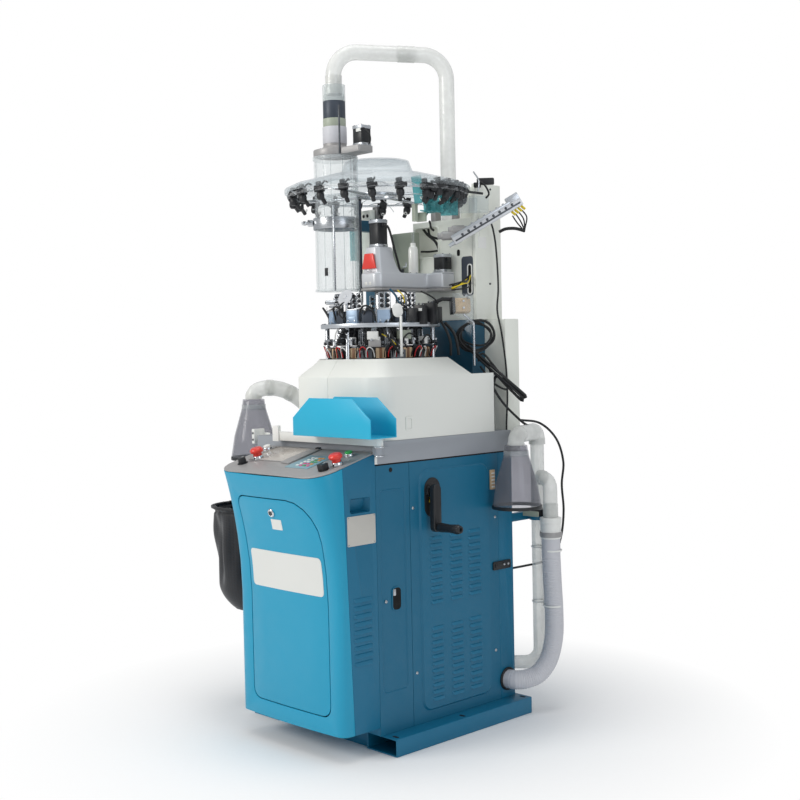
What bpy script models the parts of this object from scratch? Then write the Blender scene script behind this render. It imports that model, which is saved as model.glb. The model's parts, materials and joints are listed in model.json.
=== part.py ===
"""Circular sock knitting machine: base, cabinet, control console, knitting head, yarn ring and suction pipes.

Metres, +Z up. The origin is on the floor under the needle cylinder's axis; +X is the crank side and
-Y the operator's side.
"""

import math

import bmesh
import bpy
from mathutils import Matrix, Vector

GAP = 0.0003
SHEET = 0.003

# Base
RAIL_LENGTH = 0.567
RAIL_WIDTH = 0.120
RAIL_HEIGHT = 0.049
RAIL_WALL = 0.004
RAIL_MIDDLE_Y = 0.0155
CROSSMEMBER_WIDTH = 0.060

# Cabinet
CABINET_WIDTH = 0.525
CABINET_DEPTH = 0.560
CABINET_HEIGHT = 0.745
CABINET_MIDDLE_Y = 0.003
FRAME_BAR = 0.030
NARROW_PANEL = 0.1275
REAR_STRIP = 0.063
HOSE_ENTRY_Y = 0.250
HOSE_ENTRY_Z = 0.105

# Bed and hood
BED_THICKNESS = 0.060
BED_BORE = 0.075
HOOD_WALL = 0.175
HOOD_RISE = 0.050
HOOD_INSET = 0.064
HOOD_CORNER = 0.070
HOOD_CHAMFER = 0.187
HOOD_REAR_Y = 0.212
HOOD_SLOPE_END_Y = 0.115
HOOD_SEAM_X = 0.054

# Console
CONSOLE_LEFT_INSET = 0.0775
CONSOLE_BOTTOM_Z = 0.073
CONSOLE_RISE = 0.035
CONSOLE_FRONT_Y = -0.412
CONSOLE_BULGE = 0.006
CONSOLE_FLARE = 0.072
CONSOLE_FLARE_DROP = 0.4093
CONSOLE_CORNER = 0.028
CONSOLE_SLOPE = math.radians(14.7)
CONSOLE_SEAM_LOW_Y = -0.370
CONSOLE_SEAM_LEAN = 0.036
CONSOLE_SHELL = 0.005
CONSOLE_DROP = 0.005
CONSOLE_PLATE = 0.004
RIM_STEP = 0.0008
DOOR_LEFT_X = -0.118
DOOR_RIGHT_X = 0.212
DOOR_BOTTOM_Z = 0.121
DOOR_TOP_DROP = 0.1263
DOOR_CORNER = 0.030
DOOR_BIG_CORNER = 0.110
DOOR_GAP = 0.0025

# Controls: across, and down the slope from the panel's rear edge
ESTOP_RIGHT = (0.232, 0.112)
ESTOP_LEFT = (-0.112, 0.110)
PUSH_GREEN = (0.207, 0.044)
PUSH_WHITE = (-0.154, 0.040)
KNOB_LEFT = (-0.130, 0.154)
SELECTOR = (0.222, 0.153)
ESTOP_STEM = 0.0125
PUSH_RADIUS = 0.0105
STEM_CLEARANCE = 0.0005
STEM_DEPTH = 0.012

# Tray
TRAY_LEFT_X = 0.030
TRAY_LENGTH = 0.318
TRAY_FRONT_Y = -0.370
TRAY_DEPTH = 0.095
TRAY_HEIGHT = 0.105
TRAY_CHAMFER = 0.055
BAR_LEFT_X = -0.154
BAR_HEIGHT = 0.026
BAR_DEPTH = 0.024
HINGE_X = 0.286

# Crank and gears
CRANK_Y = -0.077
CRANK_DROP = 0.100
CRANK_SHAFT_RADIUS = 0.010
CRANK_GRIP_LENGTH = 0.086
LAY_X = 0.150
CYLINDER_GEAR_RADIUS = 0.118
BEVEL_RADIUS = 0.030
LAY_BOSS = 0.005

# Knitting head, heights above the bed
CYLINDER_RADIUS = 0.0555
CYLINDER_WALL = 0.008
CAM_TOP = 0.262
RING_PLATE_RISE = 0.315
RING_PLATE_RADIUS = 0.178
RING_PLATE_BORE = 0.112
RING_PLATE_THICKNESS = 0.012
ARM_RISE = 0.425
ARM_THICKNESS = 0.055
ARM_HALF_WIDTH = 0.042
TOWER_RISE = 0.076
MOTOR_SIDE = 0.042

# Rear stand and column
COLUMN_LEFT_X = -0.090
COLUMN_RIGHT_X = 0.165
COLUMN_FRONT_Y = 0.235
COLUMN_DEPTH = 0.116
COLUMN_RISE = 0.335
COLUMN_HEIGHT = 0.310
COVER_HEIGHT = 0.410
CONTROL_BOX_RIGHT_X = 0.2475
VALVE_LENGTH = 0.235
VALVE_HALF = 0.016
VALVE_TURN = math.radians(46)

# Yarn ring, cover and canister
FEEDER_RADIUS = 0.262
FEEDER_RISE = 0.703
FEEDER_COUNT = 20
FEEDER_DROP = 0.022
FEEDER_LIFT = 0.012
POST_FRONT_Y = 0.168
POST_DROP = 0.040
COVER_RADIUS = 0.276
DOME_RADIUS = 0.108
CANISTER_CLEARANCE = 0.012
CANISTER_Y = -0.003
CANISTER_RADIUS = 0.0670
CANISTER_RISE = 0.432
CANISTER_LENGTH = 0.412
CAP_THICKNESS = 0.020
CAP_HEIGHT = 0.190
CAP_RIGHT_X = -0.042
OVERHEAD_RADIUS = 0.0240
DOWN_PIPE_X = -0.007
DOWN_PIPE_Y = 0.315
OVERHEAD_RISE = 1.1914

# Suction side
CONE_OUT = 0.0775
CONE_Y = 0.216
CONE_RADIUS = 0.071
CONE_NECK = 0.036
CONE_BORE = 0.022
CONE_LENGTH = 0.161
CONE_COLLAR = 0.025
CLEAR_PIPE_OUT = 0.0225
CLEAR_PIPE_Y = 0.378
CLEAR_PIPE_RADIUS = 0.0205
HOSE_OUT = 0.0825
HOSE_Y = 0.364
HOSE_RADIUS = 0.0285
LEFT_CONE_OUT = 0.0925
LEFT_CONE_Y = -0.210
BAG_OUT = 0.1295
BAG_Y = -0.205
BAG_RADIUS = 0.116
BAG_TOP_Z = 0.632
BAG_DEPTH = 0.322

# Heights and faces that follow from the sizes above
HALF_WIDTH = CABINET_WIDTH / 2
CABINET_FRONT_Y = CABINET_MIDDLE_Y - CABINET_DEPTH / 2
CABINET_REAR_Y = CABINET_MIDDLE_Y + CABINET_DEPTH / 2
CABINET_BOTTOM = RAIL_HEIGHT + GAP
CABINET_TOP = CABINET_BOTTOM + CABINET_HEIGHT
BED_BOTTOM = CABINET_TOP + GAP
BED_TOP = BED_BOTTOM + BED_THICKNESS
HOOD_BASE = BED_TOP + GAP
CRANK_Z = CABINET_TOP - 0.089
RING_PLATE_Z = BED_TOP + RING_PLATE_RISE
ARM_Z = BED_TOP + ARM_RISE
COLUMN_Z = BED_TOP + COLUMN_RISE
FEEDER_Z = BED_TOP + FEEDER_RISE
CANISTER_Z = BED_TOP + CANISTER_RISE
CONSOLE_REAR_Y = CABINET_FRONT_Y - GAP
CONSOLE_TOP_Z = CABINET_TOP + CONSOLE_RISE
CONSOLE_LEFT_X = CONSOLE_LEFT_INSET - HALF_WIDTH
CONSOLE_FLARE_START = round(CONSOLE_TOP_Z - CONSOLE_FLARE_DROP, 6)
DOOR_TOP_Z = round(CONSOLE_TOP_Z - DOOR_TOP_DROP, 6)
CANISTER_X = round(CANISTER_CLEARANCE + CANISTER_RADIUS - FEEDER_RADIUS, 6)
OVERHEAD_TOP = round(BED_TOP + OVERHEAD_RISE, 6)
CONE_X = round(HALF_WIDTH + CONE_OUT, 6)
CLEAR_PIPE_X = round(HALF_WIDTH + CLEAR_PIPE_OUT, 6)
HOSE_X = round(HALF_WIDTH + HOSE_OUT, 6)
LEFT_CONE_X = round(-HALF_WIDTH - LEFT_CONE_OUT, 6)
BAG_X = round(-HALF_WIDTH - BAG_OUT, 6)
TRAY_BAR_Z = BED_TOP - 0.009
TRAY_BAR_Y = CABINET_FRONT_Y + 0.006 - BAR_DEPTH / 2
RAIL_MIDDLE_X = HALF_WIDTH + 0.0525 - RAIL_WIDTH / 2

PALETTE = {
    "teal": ("#2A93B4", 0.42, 0.0),
    "bed_grey": ("#9DA1A6", 0.45, 0.4),
    "hood_white": ("#E3E4DE", 0.40, 0.0),
    "cream": ("#DFE1D8", 0.45, 0.0),
    "casting": ("#B5B6BA", 0.40, 0.5),
    "steel": ("#B9BCC0", 0.28, 1.0),
    "dark_steel": ("#55585C", 0.40, 1.0),
    "black": ("#1E1F21", 0.45, 0.0),
    "rubber": ("#222325", 0.80, 0.0),
    "red": ("#D8392E", 0.35, 0.0),
    "green": ("#27A84A", 0.35, 0.0),
    "white": ("#EDEDEA", 0.40, 0.0),
    "panel_grey": ("#A19F9F", 0.50, 0.0),
    "clear": ("#E8ECEC", 0.08, 0.0),
    "hose_grey": ("#A9A9AE", 0.60, 0.0),
    "fabric": ("#2A2B30", 0.95, 0.0),
}


def clear_scene():
    for obj in list(bpy.data.objects):
        bpy.data.objects.remove(obj, do_unlink=True)


def linear(value):
    return value / 12.92 if value <= 0.04045 else ((value + 0.055) / 1.055) ** 2.4


def make_material(name, finish):
    colour, roughness, metallic = PALETTE[finish]
    material = bpy.data.materials.new(name)
    material.use_nodes = True
    shader = material.node_tree.nodes["Principled BSDF"]
    channels = [linear(int(colour[i : i + 2], 16) / 255) for i in (1, 3, 5)]
    shader.inputs["Base Color"].default_value = (*channels, 1.0)
    shader.inputs["Roughness"].default_value = roughness
    shader.inputs["Metallic"].default_value = metallic
    return material


def place(axis, u, v, w):
    """A point from two coordinates in the section plane and one along the axis."""
    return {"X": (w, u, v), "Y": (u, w, v), "Z": (u, v, w)}[axis]


def add_object(name, bm, finish, outward=True):
    if outward:
        bmesh.ops.recalc_face_normals(bm, faces=bm.faces)
    mesh = bpy.data.meshes.new(name)
    bm.to_mesh(mesh)
    bm.free()
    obj = bpy.data.objects.new(name, mesh)
    bpy.context.scene.collection.objects.link(obj)
    mesh.materials.append(make_material(name, finish))
    return obj


def prism(outline, low, high, axis="Z", holes=()):
    """A flat outline, with holes where given, extruded along an axis."""
    bm = bmesh.new()
    loops = []
    for points in (outline, *holes):
        loops.append([bm.verts.new(place(axis, u, v, low)) for u, v in points])
    edges = [
        bm.edges.new((loop[i], loop[(i + 1) % len(loop)]))
        for loop in loops
        for i in range(len(loop))
    ]
    if holes:
        bmesh.ops.triangle_fill(bm, use_beauty=True, use_dissolve=False, edges=edges)
    else:
        bm.faces.new(loops[0])
    shift = Vector(place(axis, 0, 0, high - low))
    raised = {vert: bm.verts.new(vert.co + shift) for loop in loops for vert in loop}
    for face in list(bm.faces):
        bm.faces.new([raised[vert] for vert in reversed(face.verts)])
    for loop in loops:
        for i, vert in enumerate(loop):
            following = loop[(i + 1) % len(loop)]
            bm.faces.new((vert, following, raised[following], raised[vert]))
    return bm


def rectangle(u0, u1, v0, v1):
    return [(u0, v0), (u1, v0), (u1, v1), (u0, v1)]


def box(x0, x1, y0, y1, z0, z1):
    return prism(rectangle(x0, x1, y0, y1), z0, z1)


def circle(u, v, radius, count=24):
    turns = [2 * math.pi * k / count for k in range(count)]
    return [(u + radius * math.cos(t), v + radius * math.sin(t)) for t in turns]


def rounded(u0, u1, v0, v1, radii, steps=5):
    """A rectangle with a radius at each corner, from the lower left anticlockwise."""
    corners = ((u0, v0, 1, 1, 180), (u1, v0, -1, 1, 270), (u1, v1, -1, -1, 0), (u0, v1, 1, -1, 90))
    points = []
    for (u, v, du, dv, start), radius in zip(corners, radii):
        for k in range(steps + 1):
            turn = math.radians(start + 90 * k / steps)
            centre_u = u + du * radius
            centre_v = v + dv * radius
            points.append((centre_u + radius * math.cos(turn), centre_v + radius * math.sin(turn)))
    return points


def lathe(profile, count=32):
    """A closed profile of (radius, height) turned about Z."""
    bm = bmesh.new()
    rings = []
    for radius, height in profile:
        if radius < 1e-6:
            rings.append([bm.verts.new((0, 0, height))])
        else:
            rings.append([bm.verts.new((x, y, height)) for x, y in circle(0, 0, radius, count)])
    for i, lower in enumerate(rings):
        upper = rings[(i + 1) % len(rings)]
        if len(lower) == len(upper) == 1:
            continue
        for k in range(count):
            ends = (lower[k % len(lower)], lower[(k + 1) % count % len(lower)])
            tops = (upper[(k + 1) % count % len(upper)], upper[k % len(upper)])
            bm.faces.new(list(dict.fromkeys(ends + tops)))
    return bm


def moved(bm, location=(0, 0, 0), turn=0.0, axis="Z"):
    """The mesh turned about an axis through its origin, then shifted."""
    matrix = Matrix.Translation(location) @ Matrix.Rotation(turn, 4, axis)
    bmesh.ops.transform(bm, matrix=matrix, verts=bm.verts)
    return bm


def along_x(bm, location):
    return moved(bm, location, math.pi / 2, "Y")


def ring_profile(inner, outer, low, high):
    return [(inner, low), (outer, low), (outer, high), (inner, high)]


def disc_profile(radius, low, high):
    return [(0, low), (radius, low), (radius, high), (0, high)]


def helper_group(owner, meshes):
    group = bpy.data.collections.new(owner.name + "_construction")
    group.hide_render = True
    bpy.context.scene.collection.children.link(group)
    for index, bm in enumerate(meshes):
        helper = add_object(f"{owner.name}_construction_{index}", bm, "steel")
        bpy.context.scene.collection.objects.unlink(helper)
        group.objects.link(helper)
        helper.hide_render = True
        helper.display_type = "WIRE"
    return group


def boolean(owner, operation, meshes):
    modifier = owner.modifiers.new(operation.title(), "BOOLEAN")
    modifier.operation = operation
    modifier.solver = "EXACT"
    modifier.operand_type = "COLLECTION"
    modifier.collection = helper_group(owner, meshes)


def unite(owner, meshes):
    boolean(owner, "UNION", meshes)


def cut(owner, meshes):
    boolean(owner, "DIFFERENCE", meshes)


def thicken(obj, thickness):
    """Gives a skin its thickness, away from its outer face."""
    modifier = obj.modifiers.new("Solidify", "SOLIDIFY")
    modifier.thickness = thickness
    modifier.offset = -1
    modifier.use_even_offset = True


def sheet(name, rows, thickness, finish):
    """A sheet from rows of points, thickened away from its outer face."""
    bm = bmesh.new()
    grid = [[bm.verts.new(point) for point in row] for row in rows]
    for lower, upper in zip(grid, grid[1:]):
        for i in range(min(len(lower), len(upper)) - 1):
            bm.faces.new((lower[i], lower[i + 1], upper[i + 1], upper[i]))
    obj = add_object(name, bm, finish, outward=False)
    thicken(obj, thickness)
    return obj


def smooth_route(points, spacing):
    """Evenly spaced points on a Catmull-Rom curve through the given points."""
    ends = [Vector(point) for point in points]
    ends = [2 * ends[0] - ends[1], *ends, 2 * ends[-1] - ends[-2]]
    fine = []
    for a, b, c, d in zip(ends, ends[1:], ends[2:], ends[3:]):
        for k in range(24):
            t = k / 24
            square = (2 * a - 5 * b + 4 * c - d) * t**2
            cube = (3 * b - a - 3 * c + d) * t**3
            fine.append(0.5 * (2 * b + (c - a) * t + square + cube))
    fine.append(ends[-2])
    lengths = [0.0]
    for a, b in zip(fine, fine[1:]):
        lengths.append(lengths[-1] + (b - a).length)
    count = max(4, round(lengths[-1] / spacing))
    route = []
    for k in range(count + 1):
        target = lengths[-1] * k / count
        i = max(j for j, length in enumerate(lengths) if length <= target + 1e-9)
        i = min(i, len(fine) - 2)
        span = lengths[i + 1] - lengths[i]
        share = min(1.0, (target - lengths[i]) / span) if span else 0.0
        route.append(fine[i].lerp(fine[i + 1], share))
    return route


def cord_route(points, spacing):
    """A smooth route whose first and last steps are straight, so that its ends are square."""
    return [Vector(points[0]), *smooth_route(points[1:-1], spacing), Vector(points[-1])]


def tube(name, points, radius, finish, resolution=2):
    """A solid round tube along the points."""
    curve = bpy.data.curves.new(name, "CURVE")
    curve.dimensions = "3D"
    curve.bevel_depth = radius
    curve.bevel_resolution = resolution
    curve.use_fill_caps = True
    spline = curve.splines.new("POLY")
    spline.points.add(len(points) - 1)
    for spline_point, point in zip(spline.points, points):
        spline_point.co = (*point, 1.0)
    curve.materials.append(make_material(name, finish))
    obj = bpy.data.objects.new(name, curve)
    bpy.context.scene.collection.objects.link(obj)
    return obj


# Base -----------------------------------------------------------------------


def make_base():
    low_y = RAIL_MIDDLE_Y - RAIL_LENGTH / 2
    high_y = RAIL_MIDDLE_Y + RAIL_LENGTH / 2
    for name, side in (("rail_right", 1), ("rail_left", -1)):
        middle = side * RAIL_MIDDLE_X
        half = RAIL_WIDTH / 2
        outer = rectangle(middle - half, middle + half, 0, RAIL_HEIGHT)
        inner = rectangle(
            middle - half + RAIL_WALL, middle + half - RAIL_WALL, RAIL_WALL, RAIL_HEIGHT - RAIL_WALL
        )
        add_object(name, prism(outer, low_y, high_y, "Y", [inner]), "teal")
    reach = RAIL_MIDDLE_X - RAIL_WIDTH / 2 - GAP
    front = low_y + 0.012
    places = (("crossmember_front", front), ("crossmember_center", -CROSSMEMBER_WIDTH / 2))
    for name, y in places:
        bar = box(-reach, reach, y, y + CROSSMEMBER_WIDTH, 0, RAIL_HEIGHT - 0.004)
        add_object(name, bar, "teal")


# Cabinet --------------------------------------------------------------------


def make_cabinet_frame():
    inset = SHEET + GAP
    x = HALF_WIDTH - inset
    y0 = CABINET_FRONT_Y
    y1 = CABINET_REAR_Y - inset
    z0 = CABINET_BOTTOM
    z1 = CABINET_TOP
    bar = FRAME_BAR
    ring = [rectangle(-x + bar, x - bar, y0 + bar, y1 - bar)]
    frame = add_object("cabinet_frame", prism(rectangle(-x, x, y0, y1), z0, z0 + bar, "Z", ring), "teal")
    top = prism(rectangle(-x, x, y0, y1), z1 - bar, z1, "Z", ring)
    posts = [
        box(px, px + bar, py, py + bar, z0 + bar / 2, z1 - bar / 2)
        for px in (-x, x - bar)
        for py in (y0, y1 - bar)
    ]
    unite(frame, [top, *posts])


def pipe_bracket():
    """The arm and clamp on the rear panel that hold the clear pipe."""
    low = CABINET_TOP - 0.218
    high = low + 0.024
    arm = box(HALF_WIDTH - 0.018, HALF_WIDTH - 0.001, CABINET_REAR_Y - 0.001, CLEAR_PIPE_Y - 0.006, low, high)
    ring = lathe(ring_profile(CLEAR_PIPE_RADIUS + GAP, CLEAR_PIPE_RADIUS + 0.0065, low, high), 24)
    return arm, moved(ring, (CLEAR_PIPE_X, CLEAR_PIPE_Y, 0))


def make_panels():
    outside = HALF_WIDTH
    inside = HALF_WIDTH - SHEET
    z0 = CABINET_BOTTOM
    z1 = CABINET_TOP - 0.004
    joint_y = CABINET_FRONT_Y + NARROW_PANEL
    strip_y = CABINET_REAR_Y - REAR_STRIP
    slot = rounded(-0.236, -0.216, 0.36, 0.41, (0.008,) * 4)
    narrow = rectangle(CABINET_FRONT_Y, joint_y - GAP, z0, z1)
    add_object("panel_right_front", prism(narrow, inside, outside, "X", [slot]), "teal")
    crank_hole = circle(CRANK_Y, CRANK_Z, CRANK_SHAFT_RADIUS + 2 * GAP)
    wide = rectangle(joint_y, strip_y - GAP, z0, z1)
    add_object("panel_right", prism(wide, inside, outside, "X", [crank_hole]), "teal")
    back = box(-outside, outside, CABINET_REAR_Y - SHEET, CABINET_REAR_Y, z0, z1)
    rear = add_object("panel_rear", back, "teal")
    strip = box(inside, outside, strip_y, CABINET_REAR_Y - SHEET / 2, z0, z1)
    front = CABINET_FRONT_Y - GAP
    left = box(-outside, -inside, front - SHEET, CABINET_REAR_Y - SHEET / 2, z0, z1)
    beside = box(-outside, CONSOLE_LEFT_X - GAP, front - SHEET, front, z0, z1)
    unite(rear, [strip, left, beside])
    bore = lathe(disc_profile(HOSE_RADIUS - 0.002, -0.02, 0.02))
    unite(rear, pipe_bracket())
    cut(rear, [along_x(bore, (inside, HOSE_ENTRY_Y, HOSE_ENTRY_Z))])


def cone_bracket():
    """The arm from the bed's left side to the left cone's wall."""
    reach = LEFT_CONE_X + CONE_RADIUS * 0.89
    y0, y1 = LEFT_CONE_Y - 0.012, LEFT_CONE_Y + 0.012
    return box(reach, -HALF_WIDTH + 0.005, y0, y1, BED_TOP - 0.016, BED_TOP - 0.008)


def make_bed():
    outline = rectangle(-HALF_WIDTH, HALF_WIDTH, CABINET_FRONT_Y + 0.007, CABINET_REAR_Y)
    plate = prism(outline, BED_BOTTOM, BED_TOP, "Z", [circle(0, 0, BED_BORE, 32)])
    bed = add_object("bed_plate", plate, "bed_grey")
    high = TRAY_BAR_Z - GAP
    post = moved(lathe(disc_profile(0.011, high - 0.024, high), 20), (HINGE_X, TRAY_BAR_Y, 0))
    side = HALF_WIDTH + 0.004
    arm = box(side, HINGE_X, TRAY_BAR_Y - 0.006, TRAY_BAR_Y + 0.040, high - 0.023, high - 0.003)
    y0, y1 = TRAY_BAR_Y + 0.022, TRAY_BAR_Y + 0.046
    root = box(HALF_WIDTH - 0.010, HINGE_X, y0, y1, high - 0.022, high - 0.004)
    boss = lathe(disc_profile(0.016, BED_BOTTOM - LAY_BOSS, BED_BOTTOM + 0.002), 16)
    unite(bed, [post, arm, root, moved(boss, (LAY_X, CRANK_Y, 0)), cone_bracket()])


# Drive inside the cabinet ---------------------------------------------------


def toothed(radius, depth, count):
    points = []
    for k in range(2 * count):
        reach = radius if k % 2 else radius - depth
        turn = math.pi * k / count
        points.append((reach * math.cos(turn), reach * math.sin(turn)))
    return points


def make_drive():
    gear_z = BED_BOTTOM - 0.040
    bore = CYLINDER_RADIUS - CYLINDER_WALL
    profile = ring_profile(bore, BED_BORE - 0.004, BED_BOTTOM - 0.150, BED_TOP + 0.030)
    shaft = add_object("cylinder_shaft", lathe(profile, 32), "steel")
    hub = [circle(0, 0, BED_BORE - 0.008, 32)]
    gear = prism(toothed(CYLINDER_GEAR_RADIUS, 0.005, 36), gear_z, gear_z + 0.014, "Z", hub)
    pulley = prism(circle(0, 0, 0.110, 40), BED_BOTTOM - 0.135, BED_BOTTOM - 0.110, "Z", hub)
    unite(shaft, [gear, pulley])

    reach = math.hypot(LAY_X, CRANK_Y) - CYLINDER_GEAR_RADIUS - 0.001
    lay = lathe(disc_profile(0.009, CRANK_Z - 0.045, BED_BOTTOM - LAY_BOSS - GAP), 16)
    lay_shaft = add_object("lay_shaft", moved(lay, (LAY_X, CRANK_Y, 0)), "steel")
    spur = moved(prism(toothed(reach, 0.005, 15), gear_z, gear_z + 0.014), (LAY_X, CRANK_Y, 0))
    cone = [(0, -0.044), (BEVEL_RADIUS, -0.044), (BEVEL_RADIUS - 0.012, -0.032), (0, -0.032)]
    unite(lay_shaft, [spur, moved(lathe(cone, 24), (LAY_X, CRANK_Y, CRANK_Z))])

    motor_x = -0.150
    motor_y = 0.110
    top = BED_BOTTOM - 0.145
    body = box(motor_x - 0.055, motor_x + 0.055, motor_y - 0.055, motor_y + 0.055, top - 0.20, top)
    motor = add_object("main_motor", body, "black")
    inside = -HALF_WIDTH + SHEET + GAP
    plate = box(inside, motor_x - 0.02, motor_y - 0.05, motor_y + 0.05, top - 0.19, top - 0.18)
    boss = moved(lathe(disc_profile(0.009, top - 0.01, top + 0.006), 16), (motor_x, motor_y, 0))
    unite(motor, [plate, boss])
    wheel = disc_profile(0.030, top + 0.006 + GAP, top + 0.036)
    add_object("motor_pulley", moved(lathe(wheel, 24), (motor_x, motor_y, 0)), "dark_steel")
    make_belt(motor_x, motor_y, 0.030, 0.110, BED_BOTTOM - 0.132, BED_BOTTOM - 0.113)


def make_belt(x, y, small, large, low, high):
    """A flat belt round the motor pulley and the cylinder pulley."""
    distance = math.hypot(x, y)
    heading = math.atan2(y, x)
    lean = math.acos((large - small) / distance)
    loops = []
    for thickness in (0.0009, 0.0039):
        points = []
        for k in range(25):
            turn = heading + lean + (2 * math.pi - 2 * lean) * k / 24
            points.append(((large + thickness) * math.cos(turn), (large + thickness) * math.sin(turn)))
        for k in range(13):
            turn = heading - lean + 2 * lean * k / 12
            reach = small + thickness
            points.append((x + reach * math.cos(turn), y + reach * math.sin(turn)))
        loops.append(points)
    add_object("drive_belt", prism(loops[1], low, high, "Z", [loops[0]]), "rubber")


def make_blower():
    """The suction fan's drum on the cabinet floor, open toward the hose and below the outlet."""
    x0 = 0.060
    radius = 0.085
    y = 0.130
    z = CABINET_BOTTOM + FRAME_BAR + radius + 0.012
    profile = [
        (0.0, 0.0), (radius, 0.0), (radius, 0.090), (0.030, 0.090), (0.030, 0.087), (radius - 0.003, 0.087),
        (radius - 0.003, 0.003), (0.0, 0.003),
    ]
    housing = add_object("blower_housing", along_x(lathe(profile, 28), (x0, y, z)), "dark_steel")
    low = CABINET_BOTTOM + FRAME_BAR / 2
    foot = box(x0 + 0.010, x0 + 0.080, y - 0.050, y + 0.050, z - radius - 0.014, z - radius + 0.002)
    bar_y = CABINET_REAR_Y - SHEET - 2 * GAP - FRAME_BAR
    strut = box(x0 + 0.025, x0 + 0.055, y - 0.04, bar_y, low, low + 0.013)
    leg = box(x0 + 0.025, x0 + 0.055, y - 0.04, y + 0.04, low + 0.004, z - radius - 0.008)
    unite(housing, [foot, leg, strut])
    wheel = [
        (0.0, 0.0034), (0.012, 0.0034), (0.014, 0.008), (0.070, 0.008), (0.070, 0.012), (0.020, 0.012),
        (0.012, 0.060), (0.0, 0.060),
    ]
    impeller = add_object("blower_impeller", along_x(lathe(wheel, 24), (x0, y, z)), "steel")
    blades = []
    for k in range(8):
        blade = box(0.010, 0.045, 0.030, 0.068, -0.001, 0.001)
        turned = moved(blade, (0, 0, 0), 2 * math.pi * k / 8, "X")
        blades.append(moved(turned, (x0, y, z)))
    unite(impeller, blades)


# Crank ----------------------------------------------------------------------


def make_crank():
    arm_x = HALF_WIDTH + 0.021
    profile = disc_profile(CRANK_SHAFT_RADIUS, LAY_X + 0.034, arm_x + 0.010)
    crank = add_object("crank", along_x(lathe(profile, 20), (0, CRANK_Y, CRANK_Z)), "black")
    cone = [(0, 0.0), (BEVEL_RADIUS - 0.012, 0.0), (BEVEL_RADIUS, 0.012), (0, 0.012)]
    bevel = along_x(lathe(cone, 24), (LAY_X + 0.033, CRANK_Y, CRANK_Z))
    web = rounded(-0.015, 0.015, -CRANK_DROP - 0.014, 0.020, (0.014, 0.014, 0.015, 0.015))
    arm = moved(prism(web, 0, 0.018, "X"), (arm_x, CRANK_Y, CRANK_Z))
    pin_z = CRANK_Z - CRANK_DROP
    pin = lathe(disc_profile(0.005, 0.010, 0.018 + CRANK_GRIP_LENGTH - 0.004), 12)
    unite(crank, [bevel, arm, along_x(pin, (arm_x, CRANK_Y, pin_z))])
    start = arm_x + 0.018 + GAP
    hole = 0.005 + GAP
    length = CRANK_GRIP_LENGTH
    outline = [
        (hole, 0), (0.0115, 0), (0.0135, 0.012), (0.0115, 0.045), (0.0140, length - 0.012), (0.0105, length),
        (hole, length),
    ]
    add_object("crank_grip", along_x(lathe(outline, 20), (start, CRANK_Y, pin_z)), "black")


# Hood -----------------------------------------------------------------------


def hood_plan(inset, slope):
    """The guard's plan, from the rear left round the front to the rear right, at a given inset."""
    x = HALF_WIDTH - 0.001
    front = CABINET_FRONT_Y + 0.017
    end = HOOD_SLOPE_END_Y - 0.5 * inset if slope else HOOD_SLOPE_END_Y
    shift = inset * math.tan(math.pi / 8)
    points = [(-x + inset, end), (-x + inset, front + HOOD_CHAMFER + inset - inset * math.sqrt(2) + shift)]
    points.append((-x + HOOD_CHAMFER + shift, front + inset))
    points.append((HOOD_SEAM_X - 0.4 * inset, front + inset))
    radius = HOOD_CORNER
    for k in range(9):
        turn = math.radians(-90 + 90 * k / 8)
        reach = radius - inset * 0.55
        cx = x - inset - reach
        cy = front + inset + reach
        points.append((cx + reach * math.cos(turn), cy + reach * math.sin(turn)))
    points.append((x - inset, end))
    return points


def make_hood():
    base = HOOD_BASE
    crease = HOOD_BASE + HOOD_WALL
    rim = crease + HOOD_RISE
    x = HALF_WIDTH - 0.001
    lower = hood_plan(0, False)
    upper = hood_plan(HOOD_INSET, True)
    seam = 3

    def rows(first, last, rear):
        """Wall and slope rows of the plan's points first..last, with the rear wall at the given side."""
        wall = [[(px, py, z) for px, py in lower[first : last + 1]] for z in (base, crease)]
        slope = [(px, py, rim) for px, py in upper[first : last + 1]]
        if rear == "left":
            wall = [[(-x, HOOD_REAR_Y, row[0][2]), *row] for row in wall]
        if rear == "right":
            wall = [[*row, (x, HOOD_REAR_Y, row[0][2])] for row in wall]
        return wall, slope

    for name, first, last, rear in (
        ("hood_front_cover", 0, seam, "left"),
        ("hood_guard", seam, len(lower) - 1, "right"),
    ):
        wall, slope = rows(first, last, rear)
        if name == "hood_guard":
            wall = [[(row[0][0] + GAP * 2, row[0][1], row[0][2]), *row[1:]] for row in wall]
            slope[0] = (slope[0][0] + GAP * 2, slope[0][1], slope[0][2])
        make_bent_sheet(name, wall, slope, rear)


def make_bent_sheet(name, wall, slope, rear):
    bm = bmesh.new()
    low = [bm.verts.new(point) for point in wall[0]]
    middle = [bm.verts.new(point) for point in wall[1]]
    high = [bm.verts.new(point) for point in slope]
    for i in range(len(low) - 1):
        bm.faces.new((low[i], low[i + 1], middle[i + 1], middle[i]))
    skip = 1 if rear == "left" else 0
    for i in range(len(high) - 1):
        bm.faces.new((middle[i + skip], middle[i + skip + 1], high[i + 1], high[i]))
    thicken(add_object(name, bm, "hood_white", outward=False), SHEET)


# Tray -----------------------------------------------------------------------


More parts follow.
